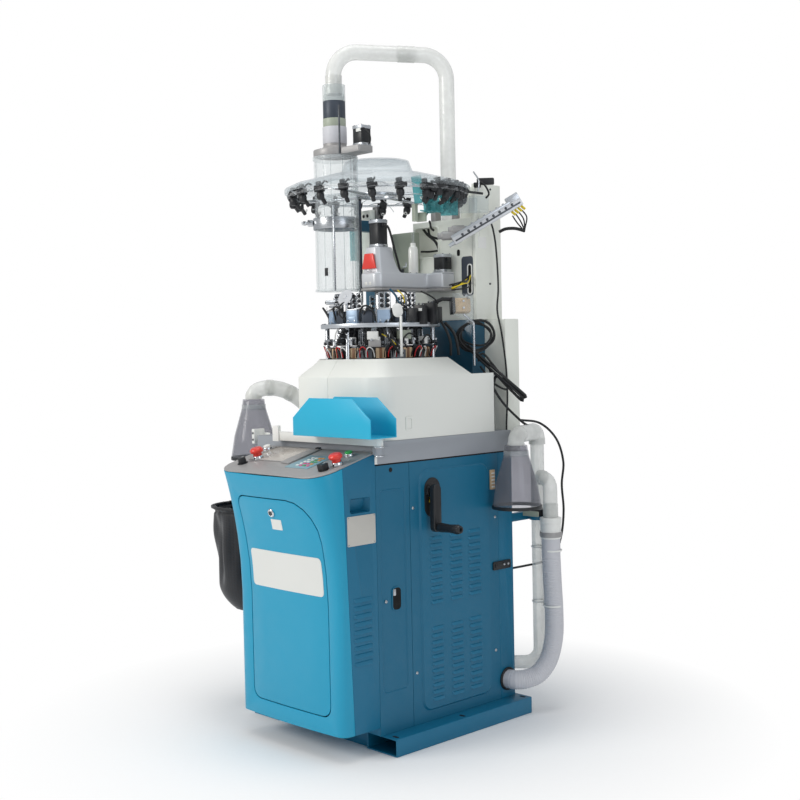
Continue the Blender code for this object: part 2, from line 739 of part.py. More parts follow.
def make_tray():
    bar_z = TRAY_BAR_Z
    bar_y = TRAY_BAR_Y - BAR_DEPTH / 2
    tray_z = bar_z + BAR_HEIGHT
    x0 = TRAY_LEFT_X
    x1 = TRAY_LEFT_X + TRAY_LENGTH
    y0 = TRAY_FRONT_Y
    y1 = TRAY_FRONT_Y + TRAY_DEPTH
    bottom = box(x0, x1, y0, y1, tray_z + GAP, tray_z + GAP + SHEET)
    tray = add_object("tray", bottom, "teal")
    top = tray_z + GAP + TRAY_HEIGHT
    c = TRAY_CHAMFER
    low = tray_z + GAP
    wall = [(x0, low), (x1, low), (x1, top - c), (x1 - 1.3 * c, top), (x0 + 1.3 * c, top), (x0, top - c)]
    unite(tray, [prism(wall, y0, y0 + SHEET, "Y"), prism(wall, y1 - SHEET, y1, "Y")])

    knuckle = moved(lathe(disc_profile(0.012, bar_z, tray_z), 20), (HINGE_X, bar_y + BAR_DEPTH / 2, 0))
    bar = add_object("tray_bar", knuckle, "white")
    beam = box(BAR_LEFT_X, HINGE_X, bar_y, bar_y + BAR_DEPTH, bar_z + 0.001, tray_z - 0.0005)
    unite(bar, [beam])


# Console --------------------------------------------------------------------


def console_flare(z):
    share = max(0.0, (z - CONSOLE_FLARE_START) / (CONSOLE_TOP_Z - 0.055 - CONSOLE_FLARE_START))
    return CONSOLE_FLARE * share**1.9


def console_seam(z):
    """The seam between shell and body leans forward toward the top."""
    return CONSOLE_SEAM_LOW_Y - CONSOLE_SEAM_LEAN * (z - CONSOLE_BOTTOM_Z)


def console_roof(y):
    """The shell's upper edge under the sloping panel."""
    return CONSOLE_TOP_Z - CONSOLE_DROP + (y - CONSOLE_REAR_Y) * math.tan(CONSOLE_SLOPE)


def console_plan(z):
    """The front shell's plan at a height, from the left seam round the front to the right seam."""
    flare = console_flare(z)
    front = CONSOLE_FRONT_Y - flare
    radius = CONSOLE_CORNER + 0.5 * flare
    left = CONSOLE_LEFT_X + radius
    right = HALF_WIDTH - radius
    points = [(CONSOLE_LEFT_X, console_seam(z))]
    for k in range(6):
        turn = math.radians(180 + 90 * k / 5)
        points.append((left + radius * math.cos(turn), front + radius + radius * math.sin(turn)))
    for share in (0.25, 0.5, 0.75):
        x = left + (right - left) * share
        points.append((x, front - CONSOLE_BULGE * (1 - (2 * share - 1) ** 2)))
    for k in range(6):
        turn = math.radians(270 + 90 * k / 5)
        points.append((right + radius * math.cos(turn), front + radius + radius * math.sin(turn)))
    points.append((HALF_WIDTH, console_seam(z)))
    return points


def shell_rows():
    """Rows of the front shell from its foot to just under the sloping top."""
    rows = []
    flared = [round(CONSOLE_FLARE_START + rise, 6) for rise in (0.0, 0.09, 0.16, 0.22, 0.27, 0.31)]
    for z in (CONSOLE_BOTTOM_Z, 0.25, *flared):
        rows.append([(x, y, z) for x, y in console_plan(z)])
    rows.append([(x, y, console_roof(y) - RIM_STEP) for x, y in console_plan(CONSOLE_TOP_Z - 0.055)])
    return rows


def door_cutter(grow):
    outline = rounded(
        DOOR_LEFT_X - grow, DOOR_RIGHT_X + grow, DOOR_BOTTOM_Z - grow, DOOR_TOP_Z + grow,
        (DOOR_CORNER, DOOR_CORNER, DOOR_BIG_CORNER, DOOR_CORNER),
    )
    return prism(outline, -0.60, CONSOLE_FRONT_Y + 0.017, "Y")


def make_console():
    shell = sheet("console_front", shell_rows(), CONSOLE_SHELL, "teal")
    cut(shell, [door_cutter(DOOR_GAP)])
    door = sheet("console_door", shell_rows(), CONSOLE_SHELL, "teal")
    boolean(door, "INTERSECT", [door_cutter(0)])

    rear = CONSOLE_REAR_Y
    floor = CONSOLE_BOTTOM_Z
    low_seam = console_seam(floor) + GAP
    high_seam = console_seam(CONSOLE_TOP_Z - 0.055) + GAP
    sides = [(CONSOLE_LEFT_X, True), (CONSOLE_LEFT_X, False), (HALF_WIDTH, False), (HALF_WIDTH, True)]
    rows = [
        [(x, rear, console_roof(rear) if high else floor) for x, high in sides],
        [
            (x, high_seam, console_roof(high_seam)) if high else (x, low_seam, floor)
            for x, high in sides
        ],
    ]
    body = sheet("console_body", rows, SHEET, "teal")
    recess = rounded(-0.371, -0.299, 0.670, 0.710, (0.006,) * 4)
    cut(body, [prism(recess, HALF_WIDTH - 0.02, HALF_WIDTH + 0.02, "X")])
    make_console_top()


def make_console_top():
    """The sloping panel, in its own plane, with a hole for each button's stem."""
    length = (CONSOLE_REAR_Y - CONSOLE_FRONT_Y + CONSOLE_FLARE) / math.cos(CONSOLE_SLOPE)
    corner = CONSOLE_CORNER + 0.5 * CONSOLE_FLARE
    outline = rounded(CONSOLE_LEFT_X, HALF_WIDTH, -length, 0, (corner, corner, 0.002, 0.002))
    stems = (
        (ESTOP_RIGHT, ESTOP_STEM), (ESTOP_LEFT, ESTOP_STEM), (PUSH_GREEN, PUSH_RADIUS),
        (PUSH_WHITE, PUSH_RADIUS),
    )
    holes = [circle(x, -run, radius + STEM_CLEARANCE, 20) for (x, run), radius in stems]
    plate = prism(outline, -CONSOLE_PLATE, 0, "Z", holes)
    add_object("console_top", moved(plate, panel_point(0, 0, 0), CONSOLE_SLOPE, "X"), "panel_grey")


def panel_point(x, run, lift):
    """A point on the sloping panel: across, down the slope from its rear edge, and off its face."""
    face = console_roof(CONSOLE_REAR_Y) + GAP + CONSOLE_PLATE / math.cos(CONSOLE_SLOPE)
    cosine = math.cos(CONSOLE_SLOPE)
    sine = math.sin(CONSOLE_SLOPE)
    return (x, CONSOLE_REAR_Y - run * cosine - lift * sine, face - run * sine + lift * cosine)


def on_panel(name, profile, where, finish, lift=0.0):
    """A turned control on the panel, or through it."""
    bm = moved(lathe(profile, 20), panel_point(*where, lift), CONSOLE_SLOPE, "X")
    return add_object(name, bm, finish)


def make_controls():
    mushroom = [
        (0, -STEM_DEPTH), (ESTOP_STEM, -STEM_DEPTH), (ESTOP_STEM, 0.018), (0.0185, 0.020), (0.0195, 0.027),
        (0.0140, 0.033), (0, 0.034),
    ]
    on_panel("estop_right", mushroom, ESTOP_RIGHT, "red")
    on_panel("estop_left", mushroom, ESTOP_LEFT, "red")
    push = [
        (0, -STEM_DEPTH), (PUSH_RADIUS, -STEM_DEPTH), (PUSH_RADIUS, 0.014), (0.0090, 0.0155), (0, 0.0160),
    ]
    on_panel("button_green", push, PUSH_GREEN, "green")
    on_panel("button_white", push, PUSH_WHITE, "white")
    turner = [(0, 0), (0.0120, 0), (0.0110, 0.016), (0.0095, 0.018), (0, 0.018)]
    on_panel("knob_left", turner, KNOB_LEFT, "black", GAP)
    half = 0.011
    square = prism(rectangle(-half, half, -half, half), 0, 0.018)
    add_object("selector_knob", moved(square, panel_point(*SELECTOR, GAP), CONSOLE_SLOPE, "X"), "black")


# Knitting head --------------------------------------------------------------


def make_cylinder():
    low = BED_TOP + 0.030 + GAP
    bore = CYLINDER_RADIUS - CYLINDER_WALL
    foot = BED_BORE - 0.006
    profile = [
        (bore, low), (foot, low), (foot, low + 0.015), (CYLINDER_RADIUS, low + 0.020),
        (CYLINDER_RADIUS, RING_PLATE_Z - 0.020), (bore, RING_PLATE_Z - 0.020),
    ]
    add_object("needle_cylinder", lathe(profile, 36), "steel")
    dial_low = RING_PLATE_Z - 0.012
    profile = [
        (0, dial_low), (CYLINDER_RADIUS - 0.004, dial_low), (CYLINDER_RADIUS - 0.004, dial_low + 0.008),
        (0.040, dial_low + 0.014), (0.014, dial_low + 0.018), (0.014, ARM_Z - GAP), (0, ARM_Z - GAP),
    ]
    add_object("dial", lathe(profile, 36), "steel")


def spokes(count, reach, width, depth, low, high, start=0.0, sweep=2 * math.pi):
    """Blocks set round a circle, each facing outward."""
    blocks = []
    for k in range(count):
        turn = start + sweep * k / count
        block = box(reach, reach + depth, -width / 2, width / 2, low, high)
        blocks.append(moved(block, (0, 0, 0), turn, "Z"))
    return blocks


def make_cam_housing():
    low = BED_TOP + GAP
    top = BED_TOP + CAM_TOP
    clear = CYLINDER_RADIUS + 0.004
    profile = [
        (BED_BORE + 0.012, low), (0.150, low), (0.150, low + 0.012), (0.100, low + 0.018),
        (0.100, top - 0.090), (0.120, top - 0.080), (0.120, top), (clear, top), (clear, low + 0.080),
        (BED_BORE + 0.012, low + 0.070),
    ]
    housing = add_object("cam_housing", lathe(profile, 36), "dark_steel")
    actuators = spokes(10, 0.116, 0.046, 0.042, top - 0.075, top - 0.012, 0.2)
    unite(housing, actuators)


def make_ring_plate():
    low = RING_PLATE_Z
    high = RING_PLATE_Z + RING_PLATE_THICKNESS
    plate = add_object(
        "ring_plate", lathe(ring_profile(RING_PLATE_BORE, RING_PLATE_RADIUS, low, high), 40), "steel"
    )
    boxes = spokes(9, 0.140, 0.034, 0.032, high - 0.001, high + 0.046, math.radians(150), math.radians(280))
    posts = []
    for degrees in (-46, 44, 134, 224):
        turn = math.radians(degrees)
        post = lathe(disc_profile(0.007, BED_TOP + GAP, low + 0.004), 12)
        posts.append(moved(post, (0.168 * math.cos(turn), 0.168 * math.sin(turn), 0)))
    unite(plate, boxes + posts)


def make_head():
    w = ARM_HALF_WIDTH
    rear = COLUMN_FRONT_Y - GAP
    plan = [
        (-w, -0.030), (-0.028, -0.046), (0.028, -0.046), (w, -0.030), (w, 0.160), (0.090, 0.178),
        (0.090, rear), (-w, rear),
    ]
    arm = add_object("head_arm", prism(plan, ARM_Z, ARM_Z + ARM_THICKNESS), "casting")
    top = ARM_Z + ARM_THICKNESS
    tower_top = top + TOWER_RISE
    bm = bmesh.new()
    corners = []
    for z, half, back in ((top - 0.004, 0.040, 0.055), (tower_top, 0.029, 0.030)):
        ring = ((-half, -half), (half, -half), (half, back), (-half, back))
        corners.append([bm.verts.new((x, y, z)) for x, y in ring])
    bm.faces.new(corners[0])
    bm.faces.new(corners[1])
    for i in range(4):
        j = (i + 1) % 4
        bm.faces.new((corners[0][i], corners[0][j], corners[1][j], corners[1][i]))
    half = MOTOR_SIDE / 2
    motor = box(-half, half, -half, half, tower_top - 0.002, tower_top + 0.081)
    rear_motor = box(0.065 - half, 0.065 + half, 0.207 - half, 0.207 + half, top - 0.004, top + 0.058)
    bottle = moved(lathe(disc_profile(0.0145, top - 0.004, top + 0.095), 16), (-0.005, 0.150, 0))
    unite(arm, [bm, motor, rear_motor, bottle])
    lever = [(-0.030, 0.0), (0.030, 0.0), (0.018, 0.045), (-0.018, 0.045)]
    foot = top + 0.010
    y = -0.040 + 0.011 * (foot - top + 0.004) / (TOWER_RISE + 0.004) - GAP
    plate = prism(lever, 0, 0.004, "Y")
    add_object("red_lever", moved(plate, (0, y - 0.004, foot)), "red")


# Rear stand and column ------------------------------------------------------


def make_column():
    x0 = COLUMN_LEFT_X
    x1 = COLUMN_RIGHT_X
    y0 = COLUMN_FRONT_Y
    y1 = COLUMN_FRONT_Y + COLUMN_DEPTH
    stand_y = CABINET_REAR_Y - 0.0005
    low = BED_TOP + GAP
    base = add_object("rear_stand", box(x0, x1, y0 - 0.010, stand_y, low, COLUMN_Z - GAP), "teal")
    foot = box(-HALF_WIDTH + 0.018, x1, HOOD_SLOPE_END_Y + 0.050, stand_y, low, low + 0.012)
    post = box(-0.243, -0.163, POST_FRONT_Y, POST_FRONT_Y + 0.018, low + 0.004, FEEDER_Z - POST_DROP)
    unite(base, [foot, post, *canister_bracket(POST_FRONT_Y)])

    casting = box(x0, x1, y0, y1, COLUMN_Z, COLUMN_Z + COLUMN_HEIGHT)
    column = add_object("column", casting, "cream")
    cover = box(x1 - 0.001, x1 + 0.012, y0, y1, COLUMN_Z, COLUMN_Z + COVER_HEIGHT)
    back = box(x1 - 0.100, x1 + 0.006, y1 - 0.062, y1, COLUMN_Z, COLUMN_Z + COVER_HEIGHT)
    unite(column, [cover, back, *valve_mount()])
    window = rounded(-0.081, 0.021, COLUMN_Z + 0.200, COLUMN_Z + 0.292, (0.014,) * 4)
    cut(column, [prism(window, y0 - 0.01, y1 + 0.01, "Y")])

    rear = CABINET_REAR_Y + GAP
    cabinet = box(-0.100, CONTROL_BOX_RIGHT_X, rear, rear + 0.062, CABINET_TOP - 0.010, COLUMN_Z - GAP)
    add_object("control_box", cabinet, "cream")


# Canister, yarn ring and overhead pipe --------------------------------------


def make_canister():
    low = CANISTER_Z
    high = CANISTER_Z + CANISTER_LENGTH
    wall = 0.003
    radius = CANISTER_RADIUS
    profile = [
        (0, low), (radius, low), (radius, high), (radius - wall, high), (radius - wall, low + wall),
        (0, low + wall),
    ]
    where = (CANISTER_X, CANISTER_Y, 0)
    add_object("canister", moved(lathe(profile, 32), where), "clear")

    foot = high + GAP
    face = foot + CAP_THICKNESS
    half = 0.045
    plate = box(CANISTER_X - radius, CAP_RIGHT_X, CANISTER_Y - half, CANISTER_Y + half, foot, face)
    cap = add_object("canister_cap", plate, "panel_grey")
    neck = [
        (0, foot + 0.001), (0.036, foot + 0.001), (0.036, foot + 0.075), (0.0325, foot + 0.078),
        (0.0325, foot + CAP_HEIGHT), (0, foot + CAP_HEIGHT),
    ]
    motor_x = CAP_RIGHT_X - 0.008
    motor = box(motor_x - MOTOR_SIDE, motor_x, -0.014, -0.014 + MOTOR_SIDE, face - 0.002, face + 0.062)
    flange = lathe(disc_profile(radius, foot, face), 32)
    unite(cap, [moved(lathe(neck, 24), where), motor, moved(flange, where)])


def canister_bracket(reach):
    """The band round the canister, its arm back to the rear post and its clamping lug."""
    low = CANISTER_Z + 0.190
    high = low + 0.034
    x = CANISTER_X
    radius = CANISTER_RADIUS
    band = lathe(ring_profile(radius + GAP, radius + 0.004, low, high), 32)
    arm = box(x - 0.022, x + 0.006, CANISTER_Y + radius + 0.002, reach + 0.002, low, high)
    lug = box(x - radius - 0.022, x - radius - 0.002, -0.010, 0.004, low + 0.008, high - 0.008)
    return moved(band, (x, CANISTER_Y, 0)), arm, lug


def arch(start, end, crown, bend, steps=6):
    """A route straight up from start, bent over at the crown's height, and straight down to end."""
    foot = Vector((start[0], start[1], crown - bend))
    far = Vector((end[0], end[1], crown - bend))
    along = (far - foot).normalized()
    points = [Vector(start)]
    for k in range(steps + 1):
        turn = math.pi / 2 * k / steps
        points.append(foot + along * bend * (1 - math.cos(turn)) + Vector((0, 0, bend * math.sin(turn))))
    for k in range(steps + 1):
        turn = math.pi / 2 * k / steps
        points.append(far - along * bend * (1 - math.sin(turn)) + Vector((0, 0, bend * math.cos(turn))))
    points.append(Vector(end))
    return points


def make_overhead_pipe():
    start = (CANISTER_X, CANISTER_Y, CANISTER_Z + CANISTER_LENGTH + GAP + CAP_HEIGHT + GAP)
    end = (DOWN_PIPE_X, DOWN_PIPE_Y, COLUMN_Z + COLUMN_HEIGHT + GAP)
    route = arch(start, end, OVERHEAD_TOP - OVERHEAD_RADIUS, 0.075)
    tube("overhead_pipe", route, OVERHEAD_RADIUS, "clear", 4)


def make_feeder_ring():
    half = 0.007
    ring = ring_profile(FEEDER_RADIUS - half, FEEDER_RADIUS + half, FEEDER_Z, FEEDER_Z + 0.008)
    rail = add_object("feeder_ring", lathe(ring, 48), "steel")
    low, high = FEEDER_Z - FEEDER_DROP, FEEDER_Z + FEEDER_LIFT
    units = spokes(FEEDER_COUNT, FEEDER_RADIUS - 0.011, 0.020, 0.024, low, high, 0.12)
    front = COLUMN_FRONT_Y + GAP
    foot = COLUMN_Z + COLUMN_HEIGHT + GAP
    head = FEEDER_Z + 0.004
    lugs = [
        box(-0.010, 0.010, min(front, FEEDER_RADIUS), max(FEEDER_RADIUS, front + 0.015), foot, head),
        box(-0.205, -0.185, POST_FRONT_Y + 0.001, POST_FRONT_Y + 0.017, FEEDER_Z - POST_DROP + GAP, head),
        box(0.080, 0.100, min(front, FEEDER_RADIUS - 0.023), front + 0.0147, foot, head),
    ]
    unite(rail, units + lugs)


def make_disc_cover():
    low = FEEDER_Z + FEEDER_LIFT + GAP
    wall = 0.003
    crown = low + 0.096
    profile = [
        (COVER_RADIUS - 0.006, low), (COVER_RADIUS, low), (COVER_RADIUS, low + 0.012), (0.250, low + 0.024),
        (0.150, low + 0.050), (DOME_RADIUS, low + 0.058), (DOME_RADIUS - 0.012, crown - 0.004), (0, crown),
        (0, crown - wall), (DOME_RADIUS - 0.014, crown - 0.004 - wall), (DOME_RADIUS - 0.003, low + 0.055),
        (0.150, low + 0.047), (0.249, low + 0.021), (COVER_RADIUS - 0.006, low + 0.009),
    ]
    cover = add_object("disc_cover", lathe(profile, 48), "clear")
    hole = lathe(disc_profile(CANISTER_RADIUS + 0.0012, low - 0.02, crown + 0.024), 32)
    cut(cover, [moved(hole, (CANISTER_X, CANISTER_Y, 0))])


def valve_mount():
    """The plate and stem on the side cover that carry the valve bank."""
    x = COLUMN_RIGHT_X + 0.011
    y = COLUMN_FRONT_Y
    z = COLUMN_Z
    mount = box(x, x + 0.006, y + 0.015, y + 0.050, z + 0.250, z + 0.330)
    stem = box(-0.010, 0.010, VALVE_HALF + GAP, 0.056, -0.007, 0.007)
    return mount, moved(stem, valve_middle(), VALVE_TURN)


def valve_middle():
    return (COLUMN_RIGHT_X + 0.0545, COLUMN_FRONT_Y + 0.004, COLUMN_Z + 0.295)


def make_valve_bank():
    """The tilted bar of air valves on the column's side cover."""
    tilt = math.atan2(0.125, 0.219)

    def tilted(bm):
        return moved(moved(bm, turn=-tilt, axis="Y"), valve_middle(), VALVE_TURN)

    half = VALVE_LENGTH / 2
    beam = box(-half, half, -VALVE_HALF, VALVE_HALF, -0.013, 0.013)
    bar = add_object("valve_bank", tilted(beam), "casting")
    fins = [box(x, x + 0.014, -0.020, 0.014, 0.005, 0.040) for x in (-0.100, -0.078, -0.056, -0.034)]
    unite(bar, [tilted(fin) for fin in fins])


# Suction cones, pipes, bag --------------------------------------------------


def cone_profile(rim_z, wall=0.003):
    top = rim_z + CONE_LENGTH
    collar = top + CONE_COLLAR
    shoulder = CONE_RADIUS * 0.86
    return [
        (CONE_RADIUS, rim_z), (CONE_RADIUS + 0.001, rim_z + 0.012), (shoulder, rim_z + 0.075),
        (CONE_NECK, top), (CONE_NECK - wall, collar), (CONE_BORE, collar), (CONE_BORE, collar - 0.004),
        (CONE_NECK - 2 * wall, collar - 0.004), (CONE_NECK - wall, top), (shoulder - wall, rim_z + 0.074),
        (CONE_RADIUS - wall, rim_z + 0.012), (CONE_RADIUS - wall, rim_z),
    ]


def make_right_suction():
    rim_z = BED_TOP - 0.224
    top = rim_z + CONE_LENGTH + CONE_COLLAR
    add_object("suction_cone_right", moved(lathe(cone_profile(rim_z), 32), (CONE_X, CONE_Y, 0)), "clear")
    end = (CLEAR_PIPE_X, CLEAR_PIPE_Y, top - 0.010)
    tube("elbow_pipe_right", arch((CONE_X, CONE_Y, top + GAP), end, top + 0.030, 0.028), 0.0250, "clear", 3)
    start = Vector((CLEAR_PIPE_X, CLEAR_PIPE_Y, top - 0.010 - GAP))
    bend_z = 0.180
    points = [start, Vector((CLEAR_PIPE_X, CLEAR_PIPE_Y, bend_z))]
    for k in range(1, 6):
        turn = math.pi / 2 * k / 5
        drop = 0.045 * math.sin(turn)
        back = 0.045 * (1 - math.cos(turn))
        points.append(Vector((CLEAR_PIPE_X - back * 0.75, CLEAR_PIPE_Y - back * 0.66, bend_z - drop)))
    x_end = CLEAR_PIPE_X - 0.045 * 0.75 - 0.0568
    points.append(Vector((x_end, CABINET_REAR_Y + 0.0160, bend_z - 0.045)))
    tube("clear_pipe", points, CLEAR_PIPE_RADIUS, "clear", 3)

    radius = 0.0225
    level = BED_TOP - 0.148
    branch = lathe(disc_profile(0.031, level - 0.182, level - 0.118), 24)
    add_object("hose_coupling", moved(branch, (HOSE_X, HOSE_Y, 0)), "white")
    bend = HOSE_X - CLEAR_PIPE_X - CLEAR_PIPE_RADIUS - 0.0045
    route = [(CLEAR_PIPE_X + CLEAR_PIPE_RADIUS + 0.0006, HOSE_Y, level)]
    for k in range(6):
        turn = math.pi / 2 * k / 5
        route.append((HOSE_X - bend + bend * math.sin(turn), HOSE_Y, level - bend + bend * math.cos(turn)))
    route.append((HOSE_X, HOSE_Y, level - 0.118 + GAP))
    tube("branch_elbow", [Vector(point) for point in route], radius, "clear", 3)


GREY_HOSE = (
    (HOSE_X, HOSE_Y, 0.5243),
    (0.3450, 0.3640, 0.470),
    (0.3465, 0.3665, 0.390),
    (0.3490, 0.3690, 0.300),
    (0.3490, 0.3660, 0.225),
    (0.3430, 0.3480, 0.160),
    (0.3320, 0.3140, 0.121),
    (0.3130, 0.2800, 0.107),
    (0.2940, 0.2555, 0.105),
    (0.2790, 0.2500, 0.105),
    (HALF_WIDTH + 0.0005, HOSE_ENTRY_Y, HOSE_ENTRY_Z),
)

LEFT_PIPE = (
    (LEFT_CONE_X, LEFT_CONE_Y, 0.9600),
    (LEFT_CONE_X, LEFT_CONE_Y, 0.968),
    (-0.352, -0.204, 0.982),
    (-0.344, -0.190, 0.990),
    (-0.333, -0.160, 0.993),
    (-0.322, -0.120, 0.985),
    (-0.312, -0.080, 0.965),
    (-0.303, -0.045, 0.938),
    (-0.290, -0.016, 0.916),
    (-0.275, -0.010, 0.910),
    (-HALF_WIDTH + 0.0004, -0.010, 0.910),
)

VALVE_CABLE = (
    (0.2020, 0.2800, 1.478),
    (0.2030, 0.2860, 1.462),
    (0.2060, 0.2925, 1.420),
    (0.2090, 0.2960, 1.350),
    (0.2110, 0.2960, 1.280),
    (0.2180, 0.2820, 1.215),
    (0.2400, 0.2740, 1.150),
    (0.2540, 0.2760, 1.050),
    (0.2570, 0.2770, 0.960),
    (0.2550, 0.2750, 0.900),
    (0.2540, 0.2740, 0.875),
    (0.2540, 0.2740, BED_TOP + 0.0006),
)

LOOP_CABLE = (
    (0.1300, 0.2245, 1.160),
    (0.1300, 0.2120, 1.160),
    (0.1370, 0.1980, 1.152),
    (0.1600, 0.1800, 1.130),
    (0.2000, 0.1900, 1.090),
    (0.2450, 0.2300, 1.030),
    (0.2850, 0.2650, 0.985),
    (0.3060, 0.2850, 0.955),
    (0.3000, 0.2900, 0.945),
    (0.2680, 0.2600, 0.990),
    (0.2440, 0.2450, 1.018),
    (0.2300, 0.2440, 0.985),
    (0.2280, 0.2440, 0.930),
    (0.2280, 0.2440, 0.880),
    (0.2280, 0.2440, BED_TOP + 0.0006),
)

REAR_CABLE = (
    (0.2300, 0.3457, 0.880),
    (0.2300, 0.3600, 0.880),
    (0.2700, 0.4120, 0.868),
    (0.3100, 0.4400, 0.820),
    (0.3300, 0.4480, 0.750),
    (0.3260, 0.4440, 0.680),
    (0.3300, 0.4460, 0.600),
    (0.3220, 0.4420, 0.520),
    (0.2960, 0.4340, 0.450),
    (0.2580, 0.4180, 0.434),
    (0.2360, 0.3700, 0.428),
    (0.2330, 0.3100, 0.428),
    (0.2330, CABINET_REAR_Y + 0.0006, 0.428),
)


def make_hoses():
    tube("grey_hose", cord_route(GREY_HOSE, 0.030), HOSE_RADIUS, "hose_grey", 4)
    tube("left_pipe", cord_route(LEFT_PIPE, 0.022), 0.0250, "clear", 3)
    tube("valve_cable", cord_route(VALVE_CABLE, 0.014), 0.0028, "rubber", 2)
    tube("loop_cable", cord_route(LOOP_CABLE, 0.014), 0.0042, "rubber", 2)
    tube("rear_cable", cord_route(REAR_CABLE, 0.016), 0.0035, "rubber", 2)


def make_left_suction():
    rim_z = LEFT_PIPE[0][2] - GAP - CONE_LENGTH - CONE_COLLAR
    cone = lathe(cone_profile(rim_z), 32)
    add_object("suction_cone_left", moved(cone, (LEFT_CONE_X, LEFT_CONE_Y, 0)), "clear")


def make_bag():
    radius = BAG_RADIUS
    wall = 0.004
    low = BAG_TOP_Z - BAG_DEPTH
    profile = [
        (0, low), (radius * 0.80, low), (radius * 0.93, low + 0.030), (radius, BAG_TOP_Z),
        (radius - wall, BAG_TOP_Z), (radius * 0.93 - wall, low + 0.032), (radius * 0.80 - wall, low + wall),
        (0, low + wall),
    ]
    add_object("bag", moved(lathe(profile, 28), (BAG_X, BAG_Y, 0)), "fabric")
    hoop_z = BAG_TOP_Z - 0.007
    hoop = lathe(ring_profile(radius + GAP, radius + 0.006, hoop_z, hoop_z + 0.006), 28)
    ring = add_object("bag_hoop", moved(hoop, (BAG_X, BAG_Y, 0)), "steel")
    x1 = -HALF_WIDTH - GAP
    bracket = box(BAG_X + radius + 0.002, x1, BAG_Y - 0.020, BAG_Y + 0.020, hoop_z - 0.002, hoop_z + 0.008)
    plate = box(x1 - 0.003, x1, BAG_Y - 0.030, BAG_Y + 0.030, hoop_z - 0.020, hoop_z + 0.026)
    unite(ring, [bracket, plate])


def main():
    clear_scene()
    make_base()
    make_cabinet_frame()
    make_panels()
    make_bed()
    make_drive()
    make_blower()
    make_crank()
    make_hood()
    make_tray()
    make_console()
    make_controls()
    make_cylinder()
    make_cam_housing()
    make_ring_plate()
    make_head()
    make_column()
    make_canister()
    make_overhead_pipe()
    make_feeder_ring()
    make_disc_cover()
    make_valve_bank()
    make_right_suction()
    make_hoses()
    make_left_suction()
    make_bag()


main()
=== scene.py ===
"""The looks of a circular sock knitting machine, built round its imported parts.

Metres, +Z up, with the operator at -Y.
"""
import json
import math

import bmesh
import bpy
from mathutils import Euler, Matrix, Vector
from mathutils.bvhtree import BVHTree

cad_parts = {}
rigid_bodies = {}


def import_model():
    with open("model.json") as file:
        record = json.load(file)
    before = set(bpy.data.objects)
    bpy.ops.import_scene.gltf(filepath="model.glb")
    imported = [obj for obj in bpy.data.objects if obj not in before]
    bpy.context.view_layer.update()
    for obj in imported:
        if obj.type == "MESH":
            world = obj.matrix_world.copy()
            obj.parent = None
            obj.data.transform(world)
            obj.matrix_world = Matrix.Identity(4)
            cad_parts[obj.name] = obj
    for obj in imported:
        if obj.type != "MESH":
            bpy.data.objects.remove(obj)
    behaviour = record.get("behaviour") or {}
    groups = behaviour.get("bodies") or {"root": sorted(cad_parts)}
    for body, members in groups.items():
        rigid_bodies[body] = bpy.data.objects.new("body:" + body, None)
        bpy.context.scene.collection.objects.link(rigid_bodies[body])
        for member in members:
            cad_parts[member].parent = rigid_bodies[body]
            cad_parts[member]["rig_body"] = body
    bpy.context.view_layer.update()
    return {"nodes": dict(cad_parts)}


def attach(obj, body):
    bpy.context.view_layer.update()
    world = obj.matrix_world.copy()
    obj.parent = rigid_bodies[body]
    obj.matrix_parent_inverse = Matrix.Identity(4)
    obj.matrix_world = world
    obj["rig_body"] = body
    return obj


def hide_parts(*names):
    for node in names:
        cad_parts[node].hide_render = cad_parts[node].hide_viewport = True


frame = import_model()
scene = bpy.context.scene

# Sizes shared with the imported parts
HALF_WIDTH = 0.2625
BED_TOP = 0.8546
CONSOLE_REAR_Y = -0.2773
CONSOLE_FACE_Z = 0.82874
CONSOLE_SLOPE = math.radians(14.7)
RING_PLATE_TOP = 1.1816
FEEDER_Z = 1.5576
COLUMN_FRONT_Y = 0.235
CANISTER = (-0.183, -0.003)
CONE_RIGHT = (0.34, 0.216)
CONE_LEFT = (-0.355, -0.21)
BAG = (-0.392, -0.205, 0.116, 0.31, 0.632)
# The direction, seen from the cylinder's axis, of the machine's front right corner
CORNER = -43.2

# A mix node's colour sockets, which share their names with its other sockets
MIX_A = 6
MIX_B = 7
MIX_RESULT = 2

FLOOR_REACH = 9.0
SHADOWS_FADE_FROM = 0.5
SHADOWS_END_AT = 1.15
SHARP_ANGLE = math.radians(34)


# Camera, floor and light ------------------------------------------------------


def add_camera():
    """A long lens at breast height, looking at the front right corner."""
    data = bpy.data.cameras.new("camera")
    data.lens = 56.51
    data.sensor_width = 36.0
    camera = bpy.data.objects.new("camera", data)
    turn, pitch, roll = 0.801855, -0.0425041, -0.0207958
    ahead = Vector((-math.sin(turn) * math.cos(pitch), math.cos(turn) * math.cos(pitch), math.sin(pitch)))
    level = Vector((math.cos(turn), math.sin(turn), 0))
    above = level.cross(ahead)
    across = level * math.cos(roll) + above * math.sin(roll)
    upward = above * math.cos(roll) - level * math.sin(roll)
    matrix = Matrix((across, upward, -ahead)).transposed().to_4x4()
    matrix.translation = (2.74512612, -2.58045122, 1.11241842)
    camera.matrix_world = matrix
    scene.collection.objects.link(camera)
    scene.camera = camera


def linear(colour):
    """The linear colour of a hex sRGB one."""
    parts = [int(colour[i : i + 2], 16) / 255 for i in (1, 3, 5)]
    return tuple(c / 12.92 if c <= 0.04045 else ((c + 0.055) / 1.055) ** 2.4 for c in parts) + (1.0,)


def scaled(colour, share):
    return tuple(min(1.0, c * share) for c in colour[:3]) + (1.0,)


